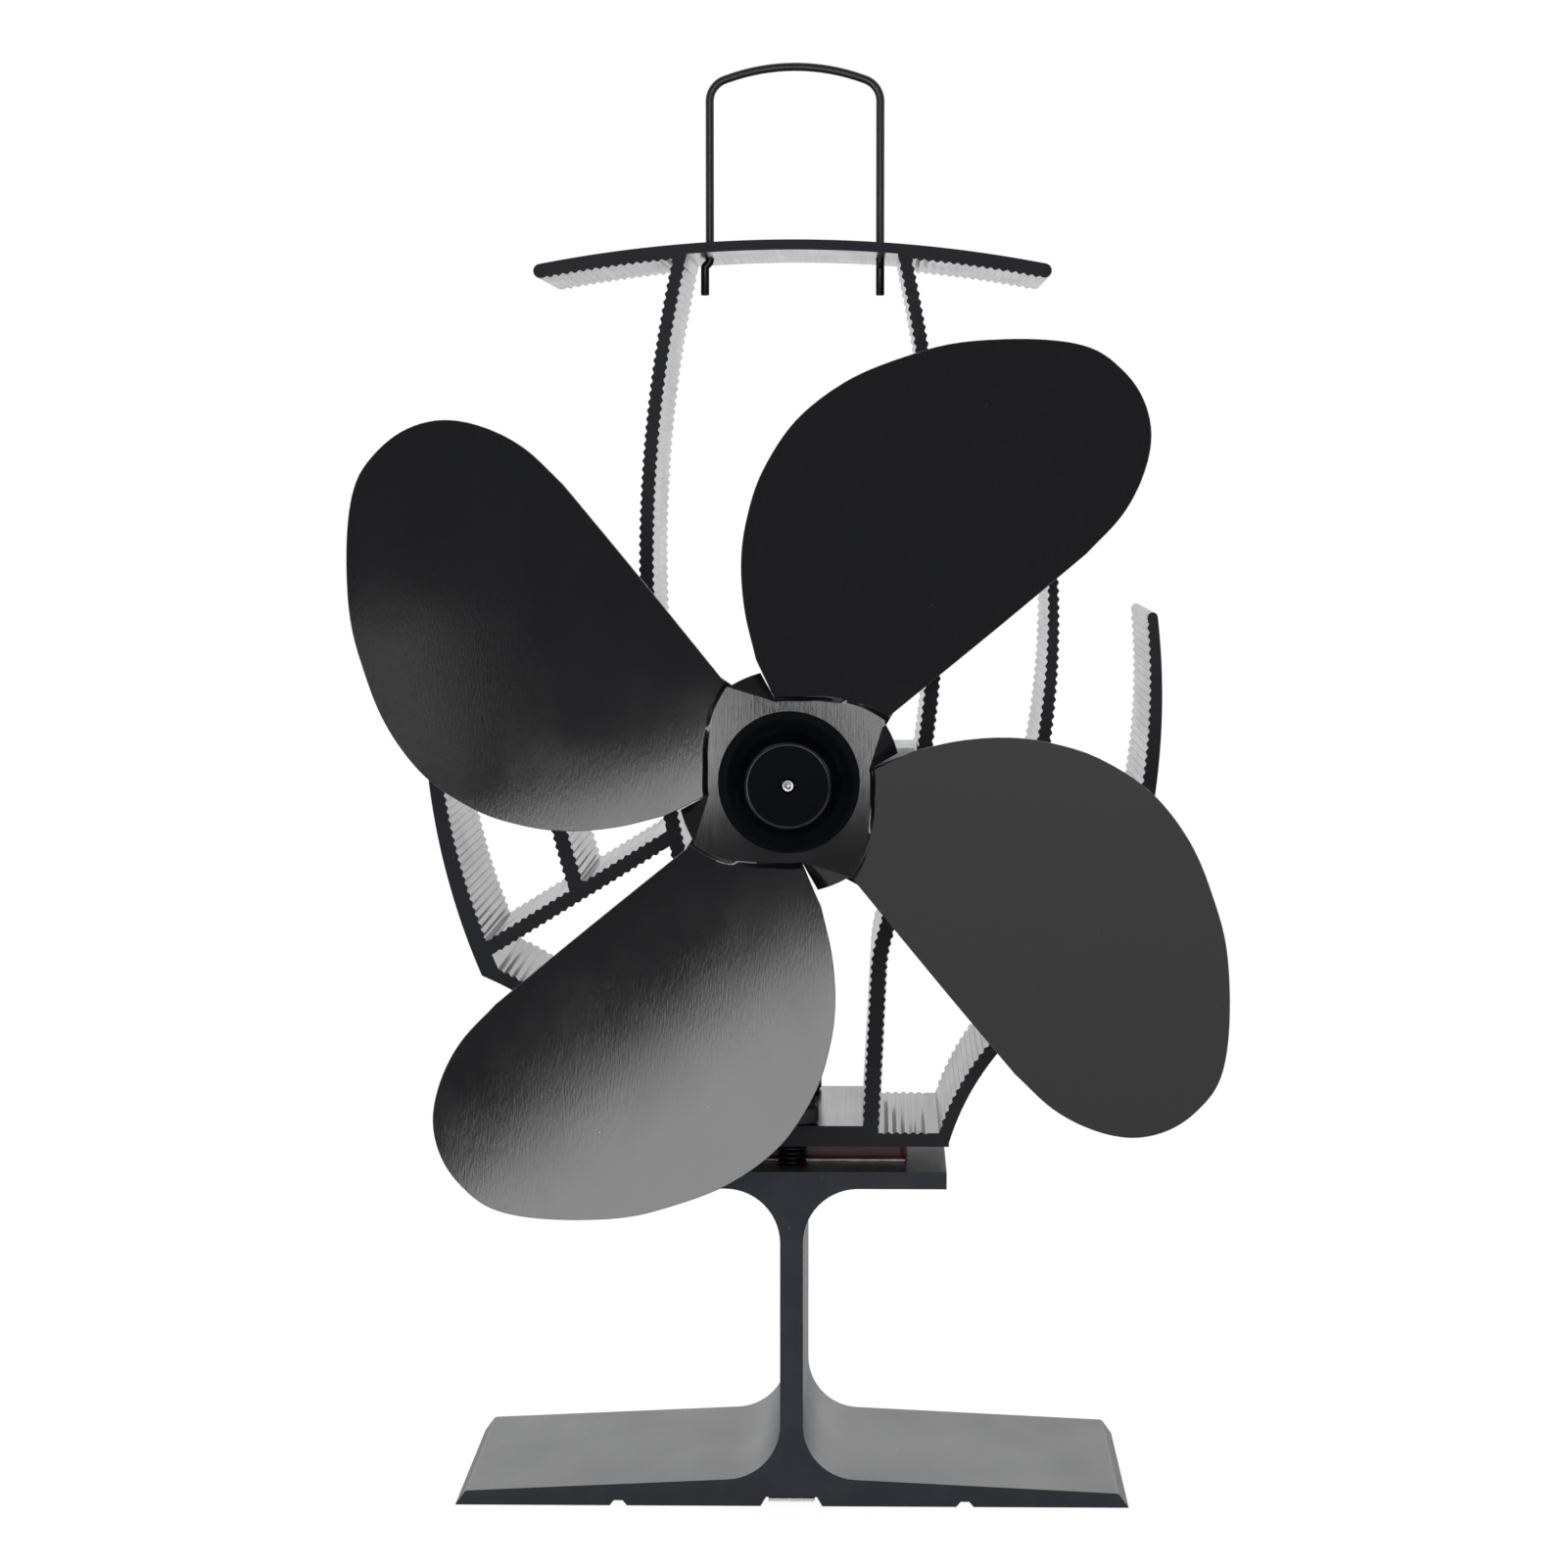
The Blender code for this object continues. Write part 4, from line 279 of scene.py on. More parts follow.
# A blade's edges as shares of BLADE_REACH, along the line at BLADE_HEEL and across it,
# then its crease as degrees and shares
STRAIGHT_EDGE_SHARES = ((0.235, -0.031), (0.50, -0.039), (0.71, -0.043))
ROUND_EDGE_SHARES = (
    (0.71, -0.043), (0.81, -0.032), (0.89, 0.0), (0.95, 0.048), (0.982, 0.11), (0.987, 0.178),
    (0.967, 0.25), (0.90, 0.328), (0.79, 0.415), (0.695, 0.463), (0.58, 0.501), (0.46, 0.508),
    (0.351, 0.478), (0.272, 0.432), (0.208, 0.376), (0.152, 0.302), (0.107, 0.218),
)
CREASE_SHARES = ((33, 0.216), (50, 0.191), (60, 0.175), (80, 0.156), (99, 0.154))

# The disc's rim between the blades, and the slit that parts a blade from the next flap
DISC_RIM_SHARE = 0.214
SLIT_ROOT_ANGLE = math.radians(99)
SLIT_MOUTH_ANGLES = (math.radians(103.4), math.radians(104.8))
NOTCH_END_ANGLE = math.radians(120.5)

# Leads from the module to the motor, in drawing millimetres
LEAD_RADIUS = 0.65 * MM
LEAD_STEP = 1.2 * MM
POSITIVE_LEAD_ROUTE = (
    (-8.4, 60.2, -18.3), (-8.4, 60.2, -23.0), (-8.4, 61.6, -26.6), (-8.3, 65.5, -28.1),
    (-8.2, 76.0, -27.0), (-8.0, 95.0, -21.5), (-7.0, 115.0, -14.5), (-3.2, 129.5, -7.5),
    (-0.4, 133.5, -1.2), (0.0, 133.6, 3.7),
)
NEGATIVE_LEAD_ROUTE = (
    (-6.0, 60.2, -18.3), (-6.0, 60.2, -23.0), (-6.0, 61.6, -26.6), (-6.0, 65.5, -28.1),
    (-5.9, 76.0, -26.6), (-5.5, 92.0, -20.0), (-3.8, 108.0, -12.5), (-1.4, 118.0, -5.8),
    (-0.1, 120.5, -0.6), (0.0, 120.6, 3.7),
)

# Facets and the angles between them
CURVE_STEP = 1.6 * MM
ARC_STEPS = 14
ROUND_STEPS = 96
SMALL_STEPS = 40
TOOTH_STEPS = 6
WIRE_STEPS = 8
LEAD_STEPS = 6
GLINT_STEPS = 3
FACING_SHARE = 0.9
SHARP_ANGLE = math.radians(40)
SMOOTH_ANGLE = math.radians(50)
SHEET_ANGLE = math.radians(14)

# Surfaces: what noise and the sum of two noises mostly span, and marks in millimetres
NOISE_SPAN = (0.3, 0.7)
SUM_SPAN = (0.6, 1.4)
EVEN_GRAIN = (0.3, 0.3, 0.3)
SPECK_CORE = 0.7
WIRE_TURN = 0.9

# Camera, floor and lights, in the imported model's frame
CAMERA_PLACE = (15.1 * MM, -776.96 * MM, 179.8 * MM)
CAMERA_PITCH = math.radians(85.908)
CAMERA_YAW = math.radians(1.232)
CAMERA_LENS = 102.6
CAMERA_SENSOR = 36
FLOOR_SIDE = 450 * MM
FLOOR_FRONT = 420 * MM
FLOOR_REAR = 900 * MM
FLOOR_COLOUR = (0.9, 0.9, 0.9)
FLOOR_ROUGHNESS = 0.9
FLOOR_GLOW = 1.06
FLOOR_GLOW_SHARE = 0.9
FLOOR_SPECULAR = 0.1
SKY_SPAN = (-0.35, 0.15)
SKY_DIM = 0.12
SKY_AMBIENT = 0.62
PANEL_DEPTH = -777 * MM
SOFTBOX_PLACE = Vector((-128.3, 155.7)) * MM
SOFTBOX_TILT = math.radians(20.5)
SOFTBOX_REACH = 380 * MM
SOFTBOX_TOP = 98 * MM
SOFTBOX_GAP = (73.5 * MM, 98 * MM)
SOFTBOX_LEFT_FOOT = -111 * MM
SOFTBOX_RIGHT_FOOT = -132 * MM
SOFTBOX_DROOP_START = -150 * MM
SOFTBOX_DROOP_TOP = 43 * MM
SOFTBOX_RADIANCE = 4.2
HIGH_PANEL_PLACE = Vector((34, 379)) * MM
HIGH_PANEL_TILT = math.radians(12)
HIGH_PANEL_HALF = (22 * MM, 30 * MM)
HIGH_PANEL_RADIANCE = 0.8

# Sizes that follow from the ones above
STAND_FRONT = STAND_DEPTH / 2
SINK_FLOOR = STAND_HEIGHT + MODULE_HEIGHT
CLAMP_OFFSET = MODULE_DEPTH / 2 + CLAMP_CLEARANCE + CLAMP_SCREW_RADIUS
AXLE_HEIGHT = SINK_FLOOR + AXLE_RISE
SHAFT_TIP = HUB_FRONT + SHAFT_PROUD
EAR_MIDDLE = MOUNT_FRONT - MOUNT_DEPTH / 2
CAN_FRONT = MOUNT_FRONT - MOUNT_LIP - GAP
CAN_REAR = CAN_FRONT - MOTOR_LENGTH
CAN_INSIDE = MOTOR_RADIUS - MOTOR_WALL
CAP_FRONT = CAN_REAR + CAP_PLUG_DEPTH
CAP_REAR = CAN_REAR - GAP - CAP_FLANGE_THICKNESS
SHAFT_BORE = SHAFT_RADIUS + GAP
REAR_BUSH_FRONT = CAP_FRONT + GAP
REAR_BUSH_REAR = REAR_BUSH_FRONT - BUSH_LENGTH
SHAFT_REAR = REAR_BUSH_REAR - 2 * GAP
LEG_TAPER = (LEG_TOP_THICKNESS - LEG_ROOT_THICKNESS) / SINK_HEIGHT
LEG_AT_AXLE = LEG_ROOT_THICKNESS + LEG_TAPER * AXLE_RISE
LEG_FACE = (LEG_AT_AXLE + TOOTH_DEPTH) / 2 + GAP
DISC_FRONT = HUB_FRONT - HUB_HEIGHT - GAP
DISC_REAR = DISC_FRONT - BLADE_THICKNESS
DISC_BORE = HUB_SPIGOT_RADIUS + GAP


# Points and outlines

def polar(radius, angle):
    return Vector((radius * math.cos(angle), radius * math.sin(angle)))


def circle(radius, steps):
    return [polar(radius, math.tau * i / steps) for i in range(steps)]


def rounded(corners):
    """An outline's or a path's points, with an arc at each corner that has a radius."""
    points = []
    for index, (x, y, radius) in enumerate(corners):
        corner = Vector((x, y))
        if radius == 0:
            points.append(corner)
            continue
        before = Vector(corners[index - 1][:2])
        after = Vector(corners[(index + 1) % len(corners)][:2])
        back = (before - corner).normalized()
        ahead = (after - corner).normalized()
        half_angle = back.angle(ahead) / 2
        centre = corner + (back + ahead).normalized() * radius / math.sin(half_angle)
        start = corner + back * radius / math.tan(half_angle) - centre
        end = corner + ahead * radius / math.tan(half_angle) - centre
        turn = start.angle_signed(end)
        for step in range(ARC_STEPS + 1):
            spin = Matrix.Rotation(-turn * step / ARC_STEPS, 2)
            points.append(centre + spin @ start)
    return points


def rounded_box(half_x, half_y, radius):
    return rounded([(half_x, half_y, radius), (-half_x, half_y, radius),
                    (-half_x, -half_y, radius), (half_x, -half_y, radius)])


def arc_between(start, end, radius):
    """Points along the circular arc from start to end that bulges to its right side."""
    start = Vector(start)
    end = Vector(end)
    chord = end - start
    half = chord.length / 2
    right = Vector((chord.y, -chord.x)).normalized()
    centre = (start + end) / 2 - right * math.sqrt(radius ** 2 - half ** 2)
    sweep = 2 * math.asin(half / radius)
    count = max(2, math.ceil(sweep * radius / CURVE_STEP))
    first = start - centre
    return [centre + Matrix.Rotation(sweep * i / count, 2) @ first for i in range(count + 1)]


def spline(points, step):
    """A smooth curve through the points, passed at an even pace."""
    count = len(points)
    found = []
    for index in range(count - 1):
        here = points[index]
        there = points[index + 1]
        before = points[index - 1] if index else here * 2 - there
        after = points[index + 2] if index + 2 < count else there * 2 - here
        pieces = max(1, round((there - here).length / step))
        for piece in range(pieces):
            t = piece / pieces
            found.append(0.5 * (
                here * 2
                + (there - before) * t
                + (before * 2 - here * 5 + there * 4 - after) * t ** 2
                + (here * 3 - before - there * 3 + after) * t ** 3
            ))
    found.append(points[-1])
    return found


def mirrored(points):
    return [Vector((-point.x, point.y)) for point in points]


def between(table, at):
    """The value at a place in a table of (place, value) rows, on straight lines."""
    if at <= table[0][0]:
        return table[0][1]
    for (low, value), (high, following) in zip(table, table[1:]):
        if at <= high:
            return value + (following - value) * (at - low) / (high - low)
    return table[-1][1]


def smooth_step(share):
    share = min(1, max(0, share))
    return share * share * (3 - 2 * share)


# Meshes

def mesh_of(solid):
    """A mesh from a bmesh, which is freed."""
    bmesh.ops.recalc_face_normals(solid, faces=solid.faces)
    mesh = bpy.data.meshes.new("mesh")
    solid.to_mesh(mesh)
    solid.free()
    return mesh


def place(name, data):
    """An object for a mesh, a curve or a camera, linked to the scene."""
    obj = bpy.data.objects.new(name, data)
    bpy.context.scene.collection.objects.link(obj)
    return obj


def evaluated_mesh(obj):
    """A new mesh of what an object's curve or modifiers make."""
    evaluated = obj.evaluated_get(bpy.context.evaluated_depsgraph_get())
    return bpy.data.meshes.new_from_object(evaluated)


def join_rings(solid, rings):
    """Faces between each ring of corners and the next; a pole is one corner repeated."""
    for here, there in zip(rings, rings[1:]):
        for index in range(len(here)):
            after = (index + 1) % len(here)
            corners = dict.fromkeys([here[index], here[after], there[after], there[index]])
            if len(corners) > 2:
                solid.faces.new(list(corners))


def area_of(outline):
    return sum(here.cross(there) for here, there in zip(outline, outline[1:] + outline[:1]))


def prism(outlines, near, far, merged=False):
    """Outlines extruded in depth: merged into one, or with the inner ones as holes."""
    points = []
    rings = []
    for outline in outlines:
        outline = [Vector(point) for point in outline]
        if area_of(outline) < 0:
            outline.reverse()
        rings.append(list(range(len(points), len(points) + len(outline))))
        points += outline
    found, _, faces, _, _, sources = delaunay_2d_cdt(points, [], rings, 1, MERGE_DISTANCE)
    solid = bmesh.new()
    corners = [solid.verts.new((*point, near)) for point in found]
    for face, source in zip(faces, sources):
        if source and (merged or len(source) % 2):
            solid.faces.new([corners[index] for index in face])
    loose = [vert for vert in solid.verts if not vert.link_faces]
    bmesh.ops.delete(solid, geom=loose, context="VERTS")
    grown = bmesh.ops.extrude_face_region(solid, geom=list(solid.faces))["geom"]
    moved = [part for part in grown if isinstance(part, bmesh.types.BMVert)]
    bmesh.ops.translate(solid, verts=moved, vec=(0, 0, far - near))
    return mesh_of(solid)


def lathe(profile, steps=ROUND_STEPS, closed=False):
    """A profile of (radius, height) points, turned about the drawing's z axis."""
    solid = bmesh.new()
    rings = []
    for radius, height in profile:
        if radius == 0:
            rings.append([solid.verts.new((0, 0, height))] * steps)
            continue
        rings.append([solid.verts.new((*polar(radius, math.tau * i / steps), height))
                      for i in range(steps)])
    join_rings(solid, rings + rings[:1] if closed else rings)
    return mesh_of(solid)


def box_mesh(low, high):
    low = Vector(low)
    high = Vector(high)
    solid = bmesh.new()
    stretch = Matrix.Diagonal((*(high - low), 1))
    bmesh.ops.create_cube(solid, size=1, matrix=Matrix.Translation((low + high) / 2) @ stretch)
    return mesh_of(solid)


def rod_mesh(radius, start, end, steps=SMALL_STEPS):
    start = Vector(start)
    end = Vector(end)
    way = end - start
    turn = Vector((0, 0, 1)).rotation_difference(way).to_matrix().to_4x4()
    solid = bmesh.new()
    bmesh.ops.create_cone(
        solid, cap_ends=True, segments=steps, radius1=radius, radius2=radius,
        depth=way.length, matrix=Matrix.Translation((start + end) / 2) @ turn,
    )
    return mesh_of(solid)


# Surfaces

def add_node(tree, kind, **values):
    """A new node; each value goes to its property, or else to its input."""
    made = tree.nodes.new(kind)
    for key, value in values.items():
        if hasattr(made, key):
            setattr(made, key, value)
        else:
            made.inputs[key.replace("_", " ")].default_value = value
    return made


class Paint:
    """A node material under construction, with its sizes in millimetres."""

    def __init__(self, name, colour, roughness, metallic=0.0, specular=0.5):
        self.material = bpy.data.materials.new(name)
        self.material.use_nodes = True
        self.tree = self.material.node_tree
        self.shader = self.tree.nodes["Principled BSDF"]
        self.set("Base Color", (*colour, 1))
        self.set("Roughness", roughness)
        self.set("Metallic", metallic)
        self.set("Specular IOR Level", specular)
        self.colour = colour
        self.height = None
        self.coordinates = self.node("ShaderNodeTexCoord").outputs["Object"]

    def set(self, socket, value):
        self.shader.inputs[socket].default_value = value

    def node(self, kind, **values):
        return add_node(self.tree, kind, **values)

    def link(self, source, target):
        self.tree.links.new(source, target)

    def noise(self, size, detail, seed=0):
        """Noise whose grain has this size along each axis."""
        scale = self.node("ShaderNodeMapping")
        scale.inputs["Scale"].default_value = [1 / (length * MM) for length in size]
        scale.inputs["Location"].default_value = (seed, seed, seed)
        self.link(self.coordinates, scale.inputs["Vector"])
        found = self.node("ShaderNodeTexNoise", Scale=1.0, Detail=detail)
        self.link(scale.outputs["Vector"], found.inputs["Vector"])
        return found.outputs["Fac"]

    def ranged(self, value, span, results=(0, 1)):
        """A value's place in its span, stretched to the results."""
        found = self.node("ShaderNodeMapRange", From_Min=span[0], From_Max=span[1],
                          To_Min=results[0], To_Max=results[1])
        self.link(value, found.inputs["Value"])
        return found.outputs["Result"]

    def math(self, operation, first, second):
        """The result of an operation on a socket and a socket or number."""
        found = self.node("ShaderNodeMath", operation=operation)
        self.link(first, found.inputs[0])
        if isinstance(second, float):
            found.inputs[1].default_value = second
        else:
            self.link(second, found.inputs[1])
        return found.outputs[0]

    def tint(self, share, colour):
        """Lets a colour show in the shares that a mask gives."""
        base = self.shader.inputs["Base Color"]
        mix = self.node("ShaderNodeMix", data_type="RGBA")
        under, over = mix.inputs[6], mix.inputs[7]
        if base.links:
            self.link(base.links[0].from_socket, under)
        else:
            under.default_value = (*self.colour, 1)
        over.default_value = (*colour, 1)
        self.link(share, mix.inputs["Factor"])
        self.link(mix.outputs[2], base)

    def rough(self, value, span, results):
        """Lets the roughness follow a value."""
        self.link(self.ranged(value, span, results), self.shader.inputs["Roughness"])

    def bump(self, value, depth):
        """Adds relief, as deep as this from lowest to highest."""
        found = self.node("ShaderNodeBump", Strength=1.0, Distance=depth * MM)
        self.link(value, found.inputs["Height"])
        if self.height:
            self.link(self.height, found.inputs["Normal"])
        self.height = found.outputs["Normal"]
        self.link(self.height, self.shader.inputs["Normal"])

    def specks(self, spacing, share, colour):
        """Sparse specks of dust: one in each cell, sized as a share of the spacing."""
        cells = self.node("ShaderNodeTexVoronoi", Scale=1 / (spacing * MM))
        self.link(self.coordinates, cells.inputs["Vector"])
        patchy = self.ranged(self.noise((14, 14, 14), detail=2, seed=11), (0.5, 0.55))
        near = self.ranged(cells.outputs["Distance"], (share * SPECK_CORE, share), (1, 0))
        self.tint(self.math("MULTIPLY", near, patchy), colour)

    def surface(self, shader):
        """Gives the material another shader than its own."""
        self.link(shader, self.tree.nodes["Material Output"].inputs["Surface"])


def anodised_black():
    """Extruded and black anodised: drawing lines run in depth, with a little lint."""
    paint = Paint("anodised_black", (0.0075, 0.0075, 0.0085), 0.2)
    lines = paint.noise((0.25, 60, 0.25), detail=2)
    cloud = paint.noise((9, 22, 9), detail=3, seed=4)
    grain = paint.noise((0.12, 0.12, 0.12), detail=1, seed=2)
    paint.rough(paint.math("ADD", lines, cloud), SUM_SPAN, (0.14, 0.24))
    paint.bump(lines, 0.004)
    paint.bump(grain, 0.001)
    paint.tint(paint.ranged(cloud, (0.45, 0.75)), (0.013, 0.0125, 0.013))
    paint.specks(spacing=2.6, share=0.035, colour=(0.35, 0.34, 0.33))
    return paint.material


def sawn(name, colour, light):
    """The sawn and anodised end of an extrusion: dull, with faint upright saw marks."""
    paint = Paint(name, colour, 0.5, specular=0.12)
    marks = paint.noise((0.3, 5, 9), detail=3, seed=9)
    cloud = paint.noise((7, 7, 7), detail=3, seed=12)
    paint.bump(marks, 0.004)
    paint.rough(cloud, NOISE_SPAN, (0.42, 0.56))
    paint.tint(paint.ranged(cloud, (0.4, 0.75)), light)
    paint.specks(spacing=2.6, share=0.03, colour=(0.3, 0.3, 0.3))
    return paint.material


def anodised_grey():
    """Bead-blasted and anodised blue-grey: a fine even grain."""
    paint = Paint("anodised_grey", (0.0195, 0.0222, 0.0295), 0.3)
    grain = paint.noise((0.16, 0.16, 0.16), detail=2)
    cloud = paint.noise((16, 30, 16), detail=3, seed=5)
    paint.rough(paint.math("ADD", grain, cloud), SUM_SPAN, (0.24, 0.36))
    paint.bump(grain, 0.003)
    paint.tint(paint.ranged(cloud, (0.4, 0.75)), (0.022, 0.025, 0.033))
    paint.specks(spacing=5, share=0.016, colour=(0.3, 0.3, 0.3))
    return paint.material


def brushed_black():
    """Sheet brushed one way, then anodised black: streaks, smudges and fine dust."""
    paint = Paint("brushed_black", (0.0065, 0.0067, 0.008), 0.2, specular=0.75)
    streaks = paint.noise((0.22, 0.22, 7), detail=3)
    fine = paint.noise((0.09, 0.09, 2.2), detail=2, seed=3)
    cloud = paint.noise((11, 11, 16), detail=4, seed=7)
    paint.rough(cloud, (0.35, 0.7), (0.06, 0.095))
    paint.bump(streaks, 0.0045)
    paint.bump(fine, 0.0016)
    paint.tint(paint.ranged(streaks, (0.45, 0.8)), (0.0095, 0.0097, 0.0112))
    paint.specks(spacing=3.4, share=0.022, colour=(0.4, 0.4, 0.4))
    return paint.material


def edge_highlight_paint():
    """The cut edge of the sheet, painted as bright metal so that it shows as a highlight line along
    the blades' edges, broken by darker patches.
    """
    paint = Paint("edge_highlight_paint", (0.2, 0.17, 0.16), 0.34, metallic=0.85)
    edge_patches = paint.noise((1.1, 1.1, 1.1), detail=4)
    paint.tint(paint.ranged(edge_patches, (0.42, 0.62)), (0.05, 0.045, 0.045))
    paint.rough(edge_patches, NOISE_SPAN, (0.26, 0.5))
    return paint.material


def moulded(name, colour, roughness, specular=0.5, light=None):
    """Moulded plastic or rubber with a fine grain."""
    paint = Paint(name, colour, roughness, specular=specular)
    grain = paint.noise((0.3, 0.3, 0.3), detail=3)
    cloud = paint.noise((6, 6, 6), detail=3, seed=6)
    paint.bump(grain, 0.01)
    paint.rough(cloud, NOISE_SPAN, (roughness * 0.85, roughness * 1.2))
    lighter = tuple(min(1, channel * 1.3) for channel in colour)
    paint.tint(paint.ranged(cloud, (0.4, 0.75)), light or lighter)
    return paint.material


def metal(name, colour, roughness, grain=(0.2, 0.2, 4.0), dark=0.7):
    """Bare metal with turning or drawing marks along the grain's long side."""
    paint = Paint(name, colour, roughness, metallic=1.0)
    lines = paint.noise(grain, detail=3)
    cloud = paint.noise((4, 4, 4), detail=4, seed=8)
    paint.bump(lines, 0.004)
    paint.rough(paint.math("ADD", lines, cloud), SUM_SPAN, (roughness * 0.75, roughness * 1.35))
    paint.tint(paint.ranged(cloud, (0.45, 0.75)), tuple(channel * dark for channel in colour))
    return paint.material


def enamelled_wire():
    """Close turns of enamelled copper wire, with painted shade in the grooves between them."""
    paint = Paint("enamelled_wire", (0.5, 0.16, 0.06), 0.3, metallic=0.9)
    paint.set("Coat Weight", 0.6)
    paint.set("Coat Roughness", 0.2)
    turns = paint.node("ShaderNodeTexWave", Scale=1 / (WIRE_TURN * MM), Distortion=0.6)
    paint.link(paint.coordinates, turns.inputs["Vector"])
    paint.bump(turns.outputs["Fac"], 0.05)
    # Painted shade: the copper is darker in the grooves between the turns.
    paint.tint(paint.ranged(turns.outputs["Fac"], (0, 0.35), (1, 0)), (0.12, 0.03, 0.012))
    return paint.material


paints = {
    "black_anodised": anodised_black(),
    "stand_anodised": anodised_grey(),
    "blade_coating": brushed_black(),
    "steel": metal("bright_steel", (0.56, 0.56, 0.57), 0.28),
    "dark_steel": metal("oxide_steel", (0.035, 0.035, 0.038), 0.38, grain=EVEN_GRAIN),
    "spring_steel": metal("spring_steel_bare", (0.3, 0.28, 0.25), 0.35),
    "bimetal": metal("bimetal_bare", (0.83, 0.8, 0.74), 0.45, grain=(0.2, 9, 0.2), dark=0.9),
    "brass": metal("brass_bare", (0.72, 0.5, 0.2), 0.3),
    "bearing_bronze": metal("bronze_bare", (0.4, 0.25, 0.12), 0.42, grain=(0.2, 0.2, 0.2)),
    "copper": enamelled_wire(),
    "aluminium": metal("machined_aluminium", (0.55, 0.56, 0.57), 0.34, grain=(0.15, 6, 0.15)),
    "ceramic": moulded("alumina", (0.8, 0.8, 0.77), 0.5),
    "pellet": metal("pellet_alloy", (0.2, 0.2, 0.22), 0.4, grain=EVEN_GRAIN),
    "red_silicone": moulded("silicone_red", (0.055, 0.0065, 0.008), 0.42,
                            light=(0.085, 0.012, 0.013)),
    "insulator": moulded("pressed_fibre", (0.03, 0.029, 0.028), 0.7, specular=0.3),
    "hub_plastic": moulded("hub_black", (0.0024, 0.0027, 0.0034), 0.3, specular=0.02),
    "cap_plastic": moulded("cap_black", (0.012, 0.012, 0.013), 0.45),
    "nylon": moulded("nylon_natural", (0.7, 0.69, 0.64), 0.55),
    "magnet": moulded("ferrite", (0.04, 0.04, 0.042), 0.6),
    "carbon": moulded("carbon_brush", (0.02, 0.02, 0.02), 0.5),
    "lead_red": moulded("insulation_red", (0.36, 0.015, 0.012), 0.45),
    "lead_black": moulded("insulation_black", (0.012, 0.012, 0.012), 0.45),
    "handle_wire": moulded("coated_wire", (0.013, 0.013, 0.014), 0.36, specular=0.6),
}
body_of_node = {name: node["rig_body"] for name, node in frame["nodes"].items()}
slot_of_node = {row["node"]: row["material_slot"] for row in frame["record"]["subparts"]}


def show(name, mesh, node=None, body=None, slot=None, paint=None, smooth=SMOOTH_ANGLE):
    """Makes a piece from a mesh; it stands for a node, or rides on a body by itself."""
    mesh.transform(TO_WORLD)
    mesh.name = name
    obj = place(name, mesh)
    slot = slot or slot_of_node[node]
    mesh.materials.append(paint or paints[slot])
    mesh.shade_smooth()
    mesh.set_sharp_from_angle(angle=smooth)
    if node:
        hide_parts(node)
        body = body_of_node[node]
    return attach(obj, body)


def cut(obj, cutters):
    """Cuts closed meshes out of a finished piece, for good."""
    solid = bmesh.new()
    for cutter in cutters:
        solid.from_mesh(cutter)
    tool = place("cutters", mesh_of(solid))
    tool.data.transform(TO_WORLD)
    change = obj.modifiers.new("cut", "BOOLEAN")
    change.operation = "DIFFERENCE"
    change.solver = "EXACT"
    change.object = tool
    mesh = evaluated_mesh(obj)
    obj.modifiers.clear()
    obj.data = mesh
    mesh.set_sharp_from_angle(angle=SHARP_ANGLE)
    bpy.data.objects.remove(tool)


def cut_faces(obj, paint):
    """Gives an extrusion's front and rear faces a paint of their own."""
    obj.data.materials.append(paint)
    for face in obj.data.polygons:
        if abs(face.normal.y) > FACING_SHARE:
            face.material_index = 1


def chamfer(obj, width, angle=SHARP_ANGLE):
    """Breaks the edges of a piece that are sharper than an angle."""
    change = obj.modifiers.new("chamfer", "BEVEL")
    change.width = width
    change.segments = 2
    change.limit_method = "ANGLE"
    change.angle_limit = angle
    change.harden_normals = True


# Stand

def stand_outline():
    groove = GROOVE_SPACING / 2
    groove_half = GROOVE_WIDTH / 2
    groove_floor_half = GROOVE_WIDTH / 4
    foot_half = FOOT_WIDTH / 2
    web_half = WEB_THICKNESS / 2
    flange_half = FLANGE_WIDTH / 2
    under_flange = STAND_HEIGHT - FLANGE_THICKNESS
    half = rounded([
        (CHANNEL_CEILING_WIDTH / 2, CHANNEL_DEPTH, 0),
        (CHANNEL_MOUTH_WIDTH / 2, 0, 0),
        (groove - groove_half, 0, 0),
        (groove - groove_floor_half, GROOVE_DEPTH, 0),
        (groove + groove_floor_half, GROOVE_DEPTH, 0),
        (groove + groove_half, 0, 0),
        (foot_half, 0, 0),
        (foot_half - FOOT_EDGE_LEAN, FOOT_EDGE_HEIGHT, FOOT_EDGE_ROUND),
        (web_half, FOOT_ROOT_HEIGHT, WEB_FILLET),
        (web_half, under_flange, WEB_FILLET),
        (flange_half, under_flange, 0),
        (flange_half, STAND_HEIGHT, 0),
    ])
    return half + mirrored(reversed(half))


def clamp_holes(bottom, top):
    """Cutters for the holes of both clamp screws, between two heights."""
    return [rod_mesh(CLAMP_SCREW_RADIUS + GAP, (0, bottom, z), (0, top, z))
            for z in (CLAMP_OFFSET, -CLAMP_OFFSET)]


def make_stand():
    mesh = prism([stand_outline()], -STAND_FRONT, STAND_FRONT)
    stand = show("stand_body", mesh, "stand")
    rivet_z = RIVET_FROM_REAR - STAND_FRONT
    rivet_hole = rod_mesh(RIVET_SHANK_RADIUS + GAP, (0, 0, rivet_z),
                          (0, RIVET_LENGTH + 2 * GAP, rivet_z))
    holes = clamp_holes(STAND_HEIGHT - CLAMP_GRIP - GAP, STAND_HEIGHT + OVERRUN)
    cut(stand, [*holes, rivet_hole])
    cut_faces(stand, sawn("stand_sawn", (0.031, 0.0332, 0.0425), (0.0385, 0.0415, 0.053)))
    chamfer(stand, STAND_CHAMFER)


# Heat sink

def walk(path):
    along = [0.0]
    for here, there in zip(path, path[1:]):
        along.append(along[-1] + (there - here).length)
    return along


